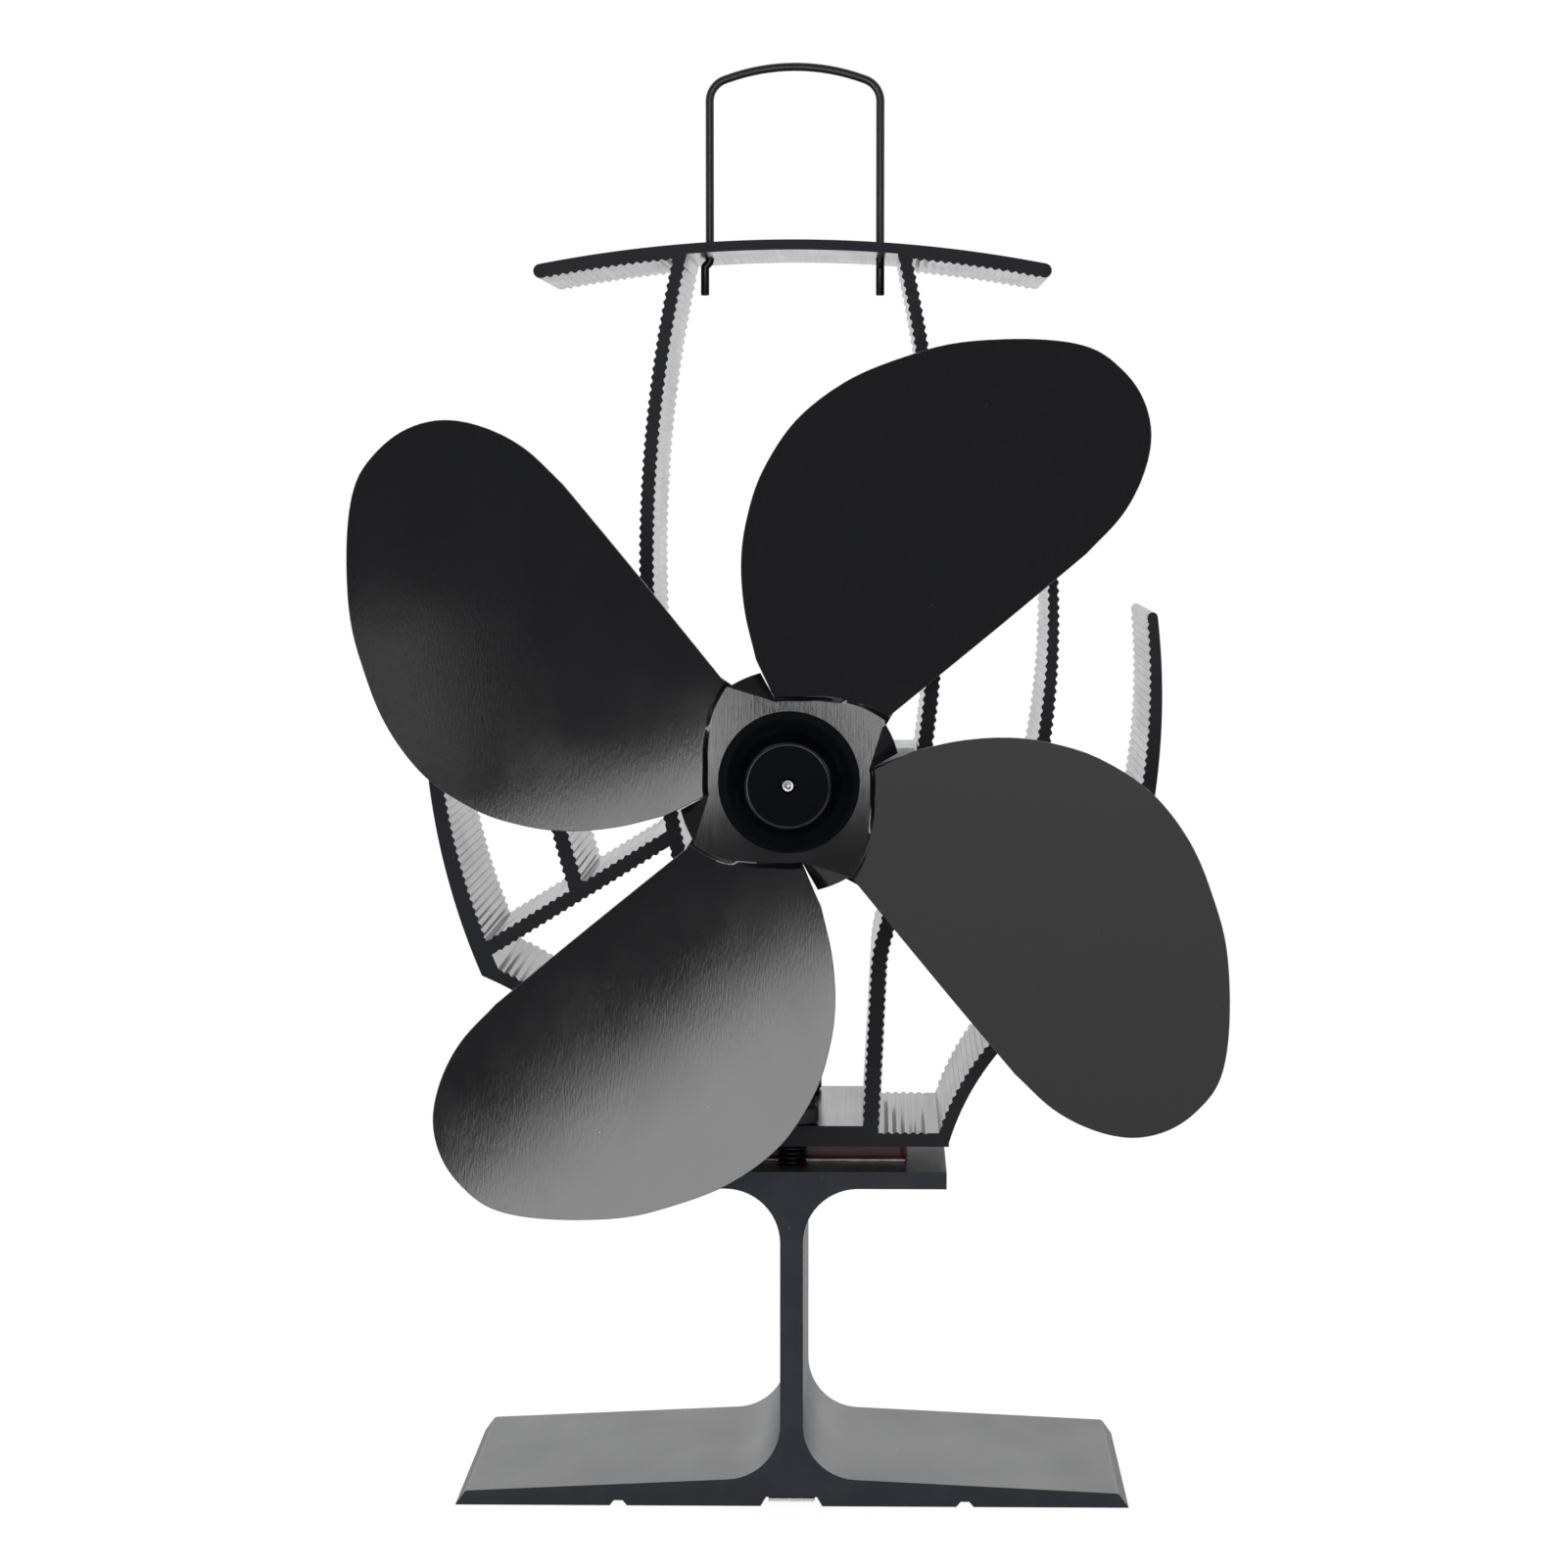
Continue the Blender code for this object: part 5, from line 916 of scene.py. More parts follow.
def beside(path, along, distance, aside):
    """The point at this distance along the path and this far to its left."""
    index = 0
    while index < len(path) - 2 and along[index + 1] < distance:
        index += 1
    here = path[index]
    way = (path[index + 1] - here).normalized()
    return here + way * (distance - along[index]) + Vector((-way.y, way.x)) * aside


def rib_side(along, root, tip, stretches):
    """One side of a rib as (distance along, distance aside), with waves in the stretches."""
    quarter = TOOTH_PITCH / 4
    plain = list(along)
    waves = []
    for start, end in stretches:
        count = int((end - start) / TOOTH_PITCH)
        last = start + count * TOOTH_PITCH
        plain = [at for at in plain if not start - quarter <= at <= last + quarter]
        plain += [start - quarter, last + quarter]
        for index in range(TOOTH_STEPS * count + 1):
            crest = -math.cos(math.tau * index / TOOTH_STEPS) * TOOTH_DEPTH / 2
            waves.append((start + index * TOOTH_PITCH / TOOTH_STEPS, crest))
    taper = (tip - root) / along[-1]
    rows = waves + [(at, 0) for at in plain]
    return sorted((at, (root + taper * at) / 2 + crest) for at, crest in rows)


def round_end(end, before, half, extra=0):
    """The points of a half circle round the end of a rib, from its right to its left.

    The extra thickness lies on the right, or on the left where it is negative.
    """
    way = (end - before).normalized()
    right = Vector((way.y, -way.x))
    centre = end + right * extra / 2
    radius = half + abs(extra) / 2
    return [centre + Matrix.Rotation(math.pi * step / ARC_STEPS, 2) @ (right * radius)
            for step in range(1, ARC_STEPS)]


def rib(path, root, tip, left=(), right=(), round_finish=False):
    """The outline of a rib that tapers along a path, toothed in stretches of its sides."""
    along = walk(path)
    outline = [beside(path, along, at, -aside)
               for at, aside in rib_side(along, root, tip, right)]
    if round_finish:
        outline += round_end(path[-1], path[-2], tip / 2)
    outline += [beside(path, along, at, aside)
                for at, aside in reversed(rib_side(along, root, tip, left))]
    return outline


def height_at(path, x):
    return between(sorted((point.x, point.y) for point in path), x)


def reach_at(path, height):
    return between([(point.y, point.x) for point in path], height)


def distance_at(path, height):
    return between([(point.y, at) for point, at in zip(path, walk(path))], height)


def mitred(path, thickness, other, other_thickness):
    """Two ribs' paths, the start of one and the end of the other drawn to their mitre.

    The mitre is where the ribs' outer faces cross.
    """
    way = (path[1] - path[0]).normalized()
    other_way = (other[-1] - other[-2]).normalized()
    turn = way.angle(other_way)
    lift = (thickness * math.cos(turn) - other_thickness) / (2 * math.sin(turn))
    reach = thickness * math.sin(turn) / 2 + lift * math.cos(turn)
    return [path[0] + way * lift, *path[1:]], [*other[:-1], other[-1] + other_way * reach]


def sink_paths():
    """The middle lines of the top plate and of the right half's ribs."""
    top_radius = TOP_RADIUS - TOP_THICKNESS / 2
    tip_x = (TOP_SPAN - TOP_TIP_THICKNESS) / 2
    tip_y = SINK_HEIGHT - TOP_RADIUS + math.sqrt(top_radius ** 2 - tip_x ** 2)
    top = arc_between((tip_x, tip_y), (-tip_x, tip_y), top_radius)
    leg_top_x = LEG_TOP_SPACING / 2
    knee = (LEG_KNEE_SPACING / 2, LEG_KNEE_HEIGHT)
    bow = arc_between(knee, (leg_top_x, height_at(top, leg_top_x)), LEG_BOW_RADIUS)
    turn = next(i for i, point in enumerate(bow) if (point - bow[0]).length > LEG_KNEE_REACH)
    leg = rounded([(LEG_FOOT_SPACING / 2, PLATE_THICKNESS / 2, 0),
                   (*knee, LEG_KNEE_RADIUS), (*bow[turn], 0)]) + bow[turn + 1:]
    corner = (CORNER_SPACING / 2, CORNER_HEIGHT)
    arm = arc_between(corner, (ARM_TIP_SPACING / 2, ARM_TIP_HEIGHT), ARM_RADIUS)
    wall_foot = (PLATE_WIDTH / 2 - WALL_FOOT_SHARE * WALL_THICKNESS, PLATE_THICKNESS / 2)
    wall = arc_between(corner, wall_foot, WALL_RADIUS)[::-1]
    arm, wall = mitred(arm, ARM_ROOT_THICKNESS, wall, WALL_THICKNESS)
    strut = [Vector((reach_at(arm, STRUT_ARM_HEIGHT), STRUT_ARM_HEIGHT)),
             Vector((reach_at(leg, STRUT_LEG_HEIGHT), STRUT_LEG_HEIGHT))]
    fin_x = FIN_ROOT_SPACING / 2
    fin = arc_between((fin_x, height_at(strut, fin_x)),
                      (FIN_TIP_SPACING / 2, FIN_TIP_HEIGHT), FIN_RADIUS)
    return {"top": top, "leg": leg, "arm": arm, "wall": wall, "strut": strut, "fin": fin}


def toothed(start, end):
    """A stretch for teeth, drawn in from where other ribs meet it."""
    return start + TOOTH_MARGIN, end - TOOTH_MARGIN


def sink_ribs(paths):
    """The outlines of the right half's ribs."""
    length = {name: walk(path)[-1] for name, path in paths.items()}
    leg_at_strut = distance_at(paths["leg"], STRUT_LEG_HEIGHT)
    arm_at_strut = distance_at(paths["arm"], STRUT_ARM_HEIGHT)
    strut_at_fin = (paths["fin"][0] - paths["strut"][0]).length
    leg_side = LEG_AT_AXLE / 2
    arm_side = ARM_ROOT_THICKNESS / 2
    strut_side = STRUT_THICKNESS / 2
    return {
        "leg": rib(
            paths["leg"], LEG_ROOT_THICKNESS, LEG_TOP_THICKNESS,
            left=[toothed(PAD_THICKNESS - PLATE_THICKNESS / 2, length["leg"])],
            right=[toothed(PLATE_THICKNESS / 2, leg_at_strut - strut_side),
                   toothed(leg_at_strut + strut_side, length["leg"])]),
        "arm": rib(
            paths["arm"], ARM_ROOT_THICKNESS, ARM_TIP_THICKNESS,
            left=[toothed(arm_at_strut + strut_side, length["arm"] + TOOTH_MARGIN / 2)],
            round_finish=True),
        "wall": rib(
            paths["wall"], WALL_THICKNESS, WALL_THICKNESS,
            left=[toothed(PLATE_THICKNESS / 2, length["wall"] - arm_side)]),
        "strut": rib(
            paths["strut"], STRUT_THICKNESS, STRUT_THICKNESS,
            left=[toothed(arm_side, length["strut"] - leg_side)],
            right=[toothed(arm_side, strut_at_fin),
                   toothed(strut_at_fin, length["strut"] - leg_side)]),
        "fin": rib(
            paths["fin"], FIN_ROOT_THICKNESS, FIN_TIP_THICKNESS,
            left=[toothed(strut_side, length["fin"] + TOOTH_MARGIN / 2)],
            right=[toothed(strut_side, length["fin"] + TOOTH_MARGIN / 2)],
            round_finish=True),
    }


def sink_plate():
    """The bottom plate's outline, toothed on top between the legs and the walls."""
    half = PLATE_WIDTH / 2
    leg_side = (LEG_FOOT_SPACING + LEG_ROOT_THICKNESS) / 2
    near = WALL_THICKNESS
    far = half - leg_side
    path = [Vector((-half, PLATE_THICKNESS / 2)), Vector((half, PLATE_THICKNESS / 2))]
    return rib(path, PLATE_THICKNESS, PLATE_THICKNESS,
               left=[toothed(near, far), toothed(PLATE_WIDTH - far, PLATE_WIDTH - near)])


def sink_top(path):
    """The top plate's outline, drawn from its right tip along its top and back below.

    Outside the legs the plate is thicker, and toothed underneath.
    """
    along = walk(path)
    half = TOP_THICKNESS / 2
    drop = TOP_TIP_THICKNESS - TOP_THICKNESS
    leg_at = between(sorted((point.x, at) for point, at in zip(path, along)),
                     LEG_TOP_SPACING / 2)
    leg_side = leg_at - LEG_TOP_THICKNESS / 2
    ends = [round_end(path[0], path[1], half, drop), round_end(path[-1], path[-2], half, -drop)]
    stretches = [toothed(-TOOTH_MARGIN / 2, leg_side),
                 toothed(along[-1] - leg_side, along[-1] + TOOTH_MARGIN / 2)]
    below = rib_side(along, TOP_THICKNESS, TOP_THICKNESS, stretches)
    for step in (leg_at - TOP_STEP / 2, leg_at + TOP_STEP / 2):
        below += [(step, half), (along[-1] - step, half)]
    outline = [beside(path, along, at, -half) for at in along] + ends[1]
    for at, aside in sorted(below, reverse=True):
        inward = (min(at, along[-1] - at) - leg_at) / TOP_STEP
        share = min(1, max(0, 1 / 2 - inward))
        outline.append(beside(path, along, at, aside + drop * share))
    return outline + ends[0]


def make_heat_sink():
    half = SINK_DEPTH / 2
    pad_x = LEG_FOOT_SPACING / 2
    pad = [(-pad_x, 0), (pad_x, 0), (pad_x, PAD_THICKNESS), (-pad_x, PAD_THICKNESS)]
    ribs = list(sink_ribs(paths).values())
    outlines = [sink_plate(), sink_top(paths["top"]), pad, *ribs, *map(mirrored, ribs)]
    mesh = prism(outlines, -half, half, merged=True)
    mesh.transform(Matrix.Translation((0, SINK_FLOOR, 0)))
    sink = show("sink_body", mesh, "heat_sink")
    holes = clamp_holes(SINK_FLOOR - OVERRUN, SINK_FLOOR + PAD_THICKNESS + OVERRUN)
    holes += ear_screw_holes(-LEG_AT_AXLE, LEG_AT_AXLE)
    handle_x = HANDLE_SPACING / 2
    plate_y = SINK_FLOOR + height_at(paths["top"], handle_x)
    for x in (-handle_x, handle_x):
        holes.append(rod_mesh(WIRE_RADIUS + GAP, (x, plate_y - TOP_THICKNESS, 0),
                              (x, plate_y + TOP_THICKNESS, 0)))
    cut(sink, holes)
    cut_faces(sink, sawn("sink_sawn", (0.0165, 0.0170, 0.0215), (0.0205, 0.0210, 0.0265)))


def ear_screw_holes(inner, outer):
    """Cutters along both bracket screws, between two distances from the leg's middle line."""
    leg = paths["leg"]
    x = reach_at(leg, AXLE_RISE)
    rise = Vector((reach_at(leg, AXLE_RISE + EAR_HEIGHT) - x, EAR_HEIGHT)).normalized()
    ends = [Vector((x, 0)) + Vector((rise.y, -rise.x)) * reach for reach in (inner, outer)]
    return [at_axle(rod_mesh(EAR_SCREW_RADIUS + GAP,
                             *[(way * end.x, end.y, EAR_MIDDLE) for end in ends]))
            for way in (-1, 1)]


# Rotor

def crease_radius(angle):
    """Where the blade at this angle starts to bend away from the disc."""
    return between(CREASE_CURVE, angle)


def crease_curve():
    """The crease as a table of angle and radius, smoothed between its given points."""
    knots = [Vector((math.radians(angle), share * BLADE_REACH)) for angle, share in CREASE_SHARES]
    count = len(knots) - 1
    table = []
    for index in range(count):
        here = knots[index]
        there = knots[index + 1]
        slopes = []
        for at in (index, index + 1):
            low = knots[max(0, at - 1)]
            high = knots[min(count, at + 1)]
            slopes.append((high.y - low.y) / (high.x - low.x))
        span = there.x - here.x
        for step in range(CREASE_STEPS):
            t = step / CREASE_STEPS
            table.append((here.x + span * t,
                          here.y * (1 + 2 * t) * (1 - t) ** 2 + there.y * t * t * (3 - 2 * t)
                          + span * t * (1 - t) * (slopes[0] * (1 - t) - slopes[1] * t)))
    return table + [tuple(knots[-1])]


def in_sector(point):
    """The point's angle within the quarter that starts where a blade's notch ends."""
    turn = math.tau / BLADE_COUNT
    start = NOTCH_END_ANGLE - turn
    return (math.atan2(point.y, point.x) - start) % turn + start


def blade_outline():
    """One quarter of the rotor's outline, from a blade's straight edge to the next one's."""
    turn = Matrix.Rotation(BLADE_HEEL, 2)
    straight = [turn @ Vector(share) * BLADE_REACH for share in STRAIGHT_EDGE_SHARES]
    edge = [turn @ Vector(share) * BLADE_REACH for share in ROUND_EDGE_SHARES]
    rim = DISC_RIM_SHARE * BLADE_REACH
    mouth, mouth_end = SLIT_MOUTH_ANGLES
    outline = spline(straight, OUTLINE_STEP)[:-1] + spline(edge, OUTLINE_STEP)
    outline += [polar(rim, mouth), polar(crease_radius(SLIT_ROOT_ANGLE), SLIT_ROOT_ANGLE)]
    outline += [polar(rim, mouth_end + (NOTCH_END_ANGLE - mouth_end) * step / ARC_STEPS)
                for step in range(ARC_STEPS + 1)]
    return outline


def fold_ends():
    """The ends of the straight fold that bends a flap back, beside the slit."""
    heel = math.radians(CREASE_SHARES[0][0])
    return (polar(crease_radius(SLIT_ROOT_ANGLE), SLIT_ROOT_ANGLE),
            polar(crease_radius(heel), heel + math.tau / BLADE_COUNT))


def on_blade(radius, angle):
    """Whether a spot lies on the blade's side of the slit between blade and flap."""
    rim = DISC_RIM_SHARE * BLADE_REACH
    slit = ((crease_radius(SLIT_ROOT_ANGLE), SLIT_ROOT_ANGLE), (rim, sum(SLIT_MOUTH_ANGLES) / 2))
    return radius > rim + GAP or angle <= between(slit, radius)


def sheet_depth(point):
    """How far the pressed sheet stands forward of its flat disc at a point."""
    radius = point.length
    angle = in_sector(point)
    if on_blade(radius, angle):
        share = smooth_step((radius - crease_radius(angle)) / BEND_LENGTH)
        return radius * math.sin(angle - BLADE_AXIS) * math.tan(BLADE_PITCH) * share
    start, end = fold_ends()
    way = (end - start).normalized()
    local = polar(radius, angle) - start
    return min(0, way.x * local.y - way.y * local.x) * math.tan(FLAP_BEND)


def bend_lines():
    """Lines along the bends of one quarter: rows across the blade's root, then the fold."""
    heel = math.radians(CREASE_SHARES[0][0])
    angles = [heel + (SLIT_ROOT_ANGLE - heel) * step / BEND_STEPS
              for step in range(BEND_STEPS + 1)]
    rows = [[polar(crease_radius(angle) + BEND_LENGTH * row / BEND_ROWS, angle)
             for angle in angles] for row in range(-1, BEND_ROWS + 2)]
    start, end = fold_ends()
    return rows + [[start.lerp(end, step / ARC_STEPS) for step in range(ARC_STEPS + 1)]]


def inside(point, outline, margin):
    """Whether a point lies within an outline, at least the margin from its edges."""
    crossings = 0
    for here, there in zip(outline, outline[1:] + outline[:1]):
        way = there - here
        share = min(1, max(0, (point - here).dot(way) / way.length_squared))
        if (here + way * share - point).length < margin:
            return False
        if (here.y > point.y) != (there.y > point.y):
            crossings += point.x < here.x + way.x * (point.y - here.y) / way.y
    return crossings % 2 == 1


def sheet_plan():
    """The rotor's sheet drawn flat: its points, and its triangles as rows of indices."""
    spins = [Matrix.Rotation(math.tau * blade / BLADE_COUNT, 2) for blade in range(BLADE_COUNT)]
    quarter = blade_outline()
    outline = [spin @ point for spin in spins for point in quarter]
    lines = [[point for point in line if inside(point, outline, EDGE_MARGIN)]
             for line in bend_lines()]
    points = []
    edges = []
    for loop in (outline, circle(DISC_BORE, SMALL_STEPS)):
        ring = range(len(points), len(points) + len(loop))
        edges += zip(ring, [*ring[1:], ring[0]])
        points += loop
    for spin in spins:
        for line in lines:
            row = range(len(points), len(points) + len(line))
            edges += zip(row, row[1:])
            points += [spin @ point for point in line]
    found, _, faces, *_ = delaunay_2d_cdt(points, list(edges), [], 1, MERGE_DISTANCE)
    bore = DISC_BORE * math.cos(math.pi / SMALL_STEPS)
    return found, [face for face in faces
                   if (sum((found[i] for i in face), Vector((0, 0))) / len(face)).length > bore]


def sheet_mesh():
    """The pressed sheet, with a chamfered rim that takes a paint of its own."""
    found, faces = sheet_plan()
    pairs = {pair for face in faces for pair in zip(face, [*face[1:], face[0]])}
    sides = [(here, there) for here, there in sorted(pairs) if (there, here) not in pairs]
    inward = {}  # Sums of the rim's inward ways at each corner, short where it turns back
    for here, there in sides:
        way = (found[there] - found[here]).normalized()
        for corner in (here, there):
            inward[corner] = inward.get(corner, Vector((0, 0))) + Vector((-way.y, way.x))
    sheet = bmesh.new()
    layers = []
    for drop, inset in ((0, 1), (EDGE_BREAK, 0), (BLADE_THICKNESS - EDGE_BREAK, 0),
                        (BLADE_THICKNESS, 1)):
        layer = {}
        for index, point in enumerate(found):
            if index not in inward and not inset:
                continue
            spot = point
            if index in inward and inset and inward[index].length > TURNING_BACK:
                spot = point + inward[index].normalized() * EDGE_BREAK
            layer[index] = sheet.verts.new((*spot, sheet_depth(point) - drop))
        layers.append(layer)
    for face in faces:
        sheet.faces.new([layers[0][index] for index in face])
        sheet.faces.new([layers[-1][index] for index in reversed(face)])
    for above, below in zip(layers, layers[1:]):
        for here, there in sides:
            rim = sheet.faces.new([above[there], above[here], below[here], below[there]])
            rim.material_index = 1
    loose = [vert for vert in sheet.verts if not vert.link_faces]
    bmesh.ops.delete(sheet, geom=loose, context="VERTS")
    return mesh_of(sheet)


def at_axle(mesh, forward=0.0):
    """Moves a mesh drawn about the axle to its place in the drawing."""
    mesh.transform(Matrix.Translation((0, AXLE_HEIGHT, forward)))
    return mesh


def make_blades():
    mesh = at_axle(sheet_mesh(), DISC_FRONT)
    blades = show("blade_sheet", mesh, "fan_blades", smooth=SHEET_ANGLE)
    # The rim takes the bright edge paint: a painted highlight along the blades' cut edges.
    blades.data.materials.append(edge_highlight_paint())


def make_hub():
    foot = DISC_FRONT + GAP
    top_of_foot = foot + HUB_FOOT_THICKNESS
    profile = rounded([
        (SHAFT_BORE, HUB_FRONT, 0), (HUB_FACE_RADIUS, HUB_FRONT, HUB_FACE_ROUND),
        (HUB_WAIST_RADIUS, top_of_foot, HUB_FILLET), (HUB_FOOT_RADIUS, top_of_foot, 0),
        (HUB_FOOT_RADIUS, foot, 0), (HUB_SPIGOT_RADIUS, foot, 0),
        (HUB_SPIGOT_RADIUS, DISC_REAR, 0), (SHAFT_BORE, DISC_REAR, 0),
    ])
    hub = show("hub_body", at_axle(lathe(profile, closed=True)), "fan_hub")
    hub.data.materials.append(moulded("hub_edge", (0.003, 0.0032, 0.004), 0.2))
    rim = HUB_FACE_RADIUS - HUB_FACE_ROUND
    front = FRAME_SHIFT - HUB_FRONT + HUB_FACE_ROUND / 2
    for face in hub.data.polygons:
        away = math.hypot(face.center.x, face.center.z - AXLE_HEIGHT)
        if face.center.y < front and away > rim:
            face.material_index = 1


def make_shaft():
    profile = [
        (0, SHAFT_TIP - SHAFT_DIMPLE_DEPTH), (SHAFT_DIMPLE_RADIUS, SHAFT_TIP),
        (SHAFT_RADIUS - SHAFT_BREAK_WIDTH, SHAFT_TIP),
        (SHAFT_RADIUS, SHAFT_TIP - SHAFT_BREAK_LENGTH), (SHAFT_RADIUS, SHAFT_REAR), (0, SHAFT_REAR),
    ]
    show("shaft_rod", at_axle(lathe(profile, SMALL_STEPS)), "motor_shaft")


# Handle

def tube(points, radii, steps=WIRE_STEPS):
    """A round wire along the points, with a radius at each, as a closed mesh."""
    curve = bpy.data.curves.new("wire", "CURVE")
    curve.dimensions = "3D"
    curve.bevel_depth = 1
    curve.bevel_resolution = steps
    curve.use_fill_caps = True
    line = curve.splines.new("POLY")
    line.points.add(len(points) - 1)
    for point, spot, radius in zip(line.points, points, radii):
        point.co = (*spot, 1)
        point.radius = radius
    holder = place("wire", curve)
    solid = bmesh.new()
    solid.from_mesh(evaluated_mesh(holder))
    bpy.data.objects.remove(holder)
    bmesh.ops.remove_doubles(solid, verts=solid.verts, dist=MERGE_DISTANCE)
    return mesh_of(solid)


def make_handle():
    x = HANDLE_SPACING / 2
    apex = HANDLE_RISE - WIRE_RADIUS
    crown_x = HANDLE_CROWN_SPACING / 2
    crown_y = apex - HANDLE_CROWN_DROP
    radius = (crown_x ** 2 + HANDLE_CROWN_DROP ** 2) / (2 * HANDLE_CROWN_DROP)
    crown = arc_between((crown_x, crown_y), (-crown_x, crown_y), radius)
    shoulder_y = crown_y - (x - crown_x) * math.tan(math.asin(crown_x / radius))
    right = rounded([(x, 0, 0), (x, shoulder_y, HANDLE_SHOULDER_RADIUS), (*crown[0], 0)])[1:-1]
    loop = right + crown + mirrored(reversed(right))
    kink = height_at(paths["top"], x) - SINK_HEIGHT - TOP_THICKNESS / 2 - GAP
    tail = [(0, 0), (kink, 0)]
    for step in range(1, KINK_STEPS + 1):
        share = step / KINK_STEPS
        tail.append((kink - KINK_LENGTH * share, KINK_OFFSET * smooth_step(share)))
    tail += [(-HANDLE_TAIL + WIRE_END_CHAMFER, KINK_OFFSET), (-HANDLE_TAIL, KINK_OFFSET)]
    points = [(x, y, -aside) for y, aside in reversed(tail)]
    points += [(*point, 0) for point in loop]
    points += [(-x - aside, y, 0) for y, aside in tail]
    radii = [WIRE_RADIUS] * len(points)
    radii[0] = radii[-1] = WIRE_RADIUS - WIRE_END_CHAMFER
    wire = tube(points, radii)
    wire.transform(Matrix.Translation((0, SINK_FLOOR + SINK_HEIGHT, 0)))
    show("handle_wire", wire, "handle")


# Module and clamps

def make_module():
    """The sealed module: a rounded, slightly bulging wall of silicone."""
    bottom = STAND_HEIGHT + GAP
    top = SINK_FLOOR - GAP
    rows = [(bottom + (top - bottom) * height, SEAL_BULGE * (1 - swell), SEAL_CORNER_RADIUS)
            for height, swell in SEAL_SWELL]
    rows += [(y, SEAL_WALL, SEAL_CORNER_RADIUS - SEAL_WALL) for y in (top, bottom)]
    solid = bmesh.new()
    rings = []
    for y, inset, radius in rows:
        outline = rounded_box(MODULE_WIDTH / 2 - inset, MODULE_DEPTH / 2 - inset, radius)
        rings.append([solid.verts.new((x, y, z)) for x, z in outline])
    join_rings(solid, rings + rings[:1])
    show("seal_wall", mesh_of(solid), "module_seal")


def make_seal_glints():
    """Painted highlights: white beads along the module's lower and upper front edges."""
    # White paint for the beads, which are painted highlights along the seal's edges.
    glint_paint = moulded("painted_seal_glint", (0.62, 0.61, 0.6), 0.5)
    for name, ends, y, size in (
        ("seal_glint_lower", GLINT_LOWER, STAND_HEIGHT + GLINT_LOWER_RADIUS, GLINT_LOWER_RADIUS),
        ("seal_glint_upper", GLINT_UPPER, SINK_FLOOR - GLINT_UPPER_RADIUS, GLINT_UPPER_RADIUS),
    ):
        start, end = ends
        count = int((end - start) / GLINT_STEP)
        points = []
        radii = []
        for step in range(count + 1):
            x = start + (end - start) * step / count
            wave = sum(math.sin(x * pace + phase) * high for pace, phase, high in GLINT_WAVES)
            points.append((x * MM, y, MODULE_DEPTH / 2 + GLINT_PROUD + GLINT_SWAY * wave))
            radii.append(size * (GLINT_THINNEST + GLINT_SWELL * wave))
        radii[0] *= GLINT_END_SHARE
        radii[-1] *= GLINT_END_SHARE
        bead = tube(points, radii, GLINT_STEPS)
        show(name, bead, body="frame", slot="ceramic", paint=glint_paint)


def upright(mesh, y, z):
    """Turns a mesh drawn about the z axis to stand upright on a spot."""
    mesh.transform(Matrix.Translation((0, y, z)) @ Matrix.Rotation(-math.pi / 2, 4, "X"))
    return mesh


def screw_profile(head_y):
    """A socket-head screw, its shank cut with a fine thread below the sink's plate."""
    profile = rounded([
        (0, CLAMP_HEAD_HEIGHT - CLAMP_SOCKET_DEPTH, 0),
        (CLAMP_SOCKET_RADIUS, CLAMP_HEAD_HEIGHT - CLAMP_SOCKET_DEPTH, 0),
        (CLAMP_SOCKET_RADIUS, CLAMP_HEAD_HEIGHT, 0),
        (CLAMP_HEAD_RADIUS, CLAMP_HEAD_HEIGHT, CLAMP_HEAD_ROUND),
        (CLAMP_HEAD_RADIUS, 0, 0), (CLAMP_SCREW_RADIUS, 0, 0),
    ])
    end = STAND_HEIGHT - CLAMP_GRIP - head_y
    y = -THREAD_START
    while y - THREAD_PITCH > end:
        crest = y - THREAD_PITCH * THREAD_CREST_SHARE
        root = y - THREAD_PITCH * THREAD_ROOT_SHARE
        profile += [Vector((CLAMP_SCREW_RADIUS, y)), Vector((CLAMP_SCREW_RADIUS, crest)),
                    Vector((CLAMP_SCREW_RADIUS - THREAD_PITCH * THREAD_DEPTH_SHARE, root))]
        y -= THREAD_PITCH
    return profile + [Vector((CLAMP_SCREW_RADIUS * CLAMP_TIP_SHARE, end)), Vector((0, end))]


def flute(mesh):
    """Presses fine upright flutes into the side of a screw's head."""
    for vert in mesh.vertices:
        away = math.hypot(vert.co.x, vert.co.y)
        if away > CLAMP_HEAD_RADIUS * FLUTE_START_SHARE and vert.co.z > 0:
            angle = math.atan2(vert.co.y, vert.co.x)
            share = 1 - FLUTE_DEPTH_SHARE * (1 + math.cos(angle * ROUND_STEPS / 2)) / 2
            vert.co.x *= share
            vert.co.y *= share


def make_clamps():
    bore = CLAMP_SCREW_RADIUS + GAP
    insulator_y = SINK_FLOOR + PAD_THICKNESS + GAP
    spring_y = insulator_y + INSULATOR_THICKNESS + GAP
    head_y = spring_y + SPRING_WASHER_THICKNESS + GAP
    insulator = rounded([
        (bore, 0, 0), (bore, INSULATOR_THICKNESS, 0),
        (INSULATOR_RADIUS, INSULATOR_THICKNESS, INSULATOR_TOP_ROUND),
        (INSULATOR_RADIUS, 0, INSULATOR_FOOT_ROUND),
    ])
    for end, z in (("front", CLAMP_OFFSET), ("rear", -CLAMP_OFFSET)):
        washer = upright(lathe(insulator, closed=True), insulator_y, z)
        show(f"insulator_{end}", washer, f"insulating_washer_{end}")
        screw = lathe(screw_profile(head_y))
        flute(screw)
        show(f"socket_screw_{end}", upright(screw, head_y, z), f"clamp_screw_{end}")
        coil = upright(split_washer(), spring_y, z)
        show(f"spring_washer_{end}_coil", coil, f"spring_washer_{end}")


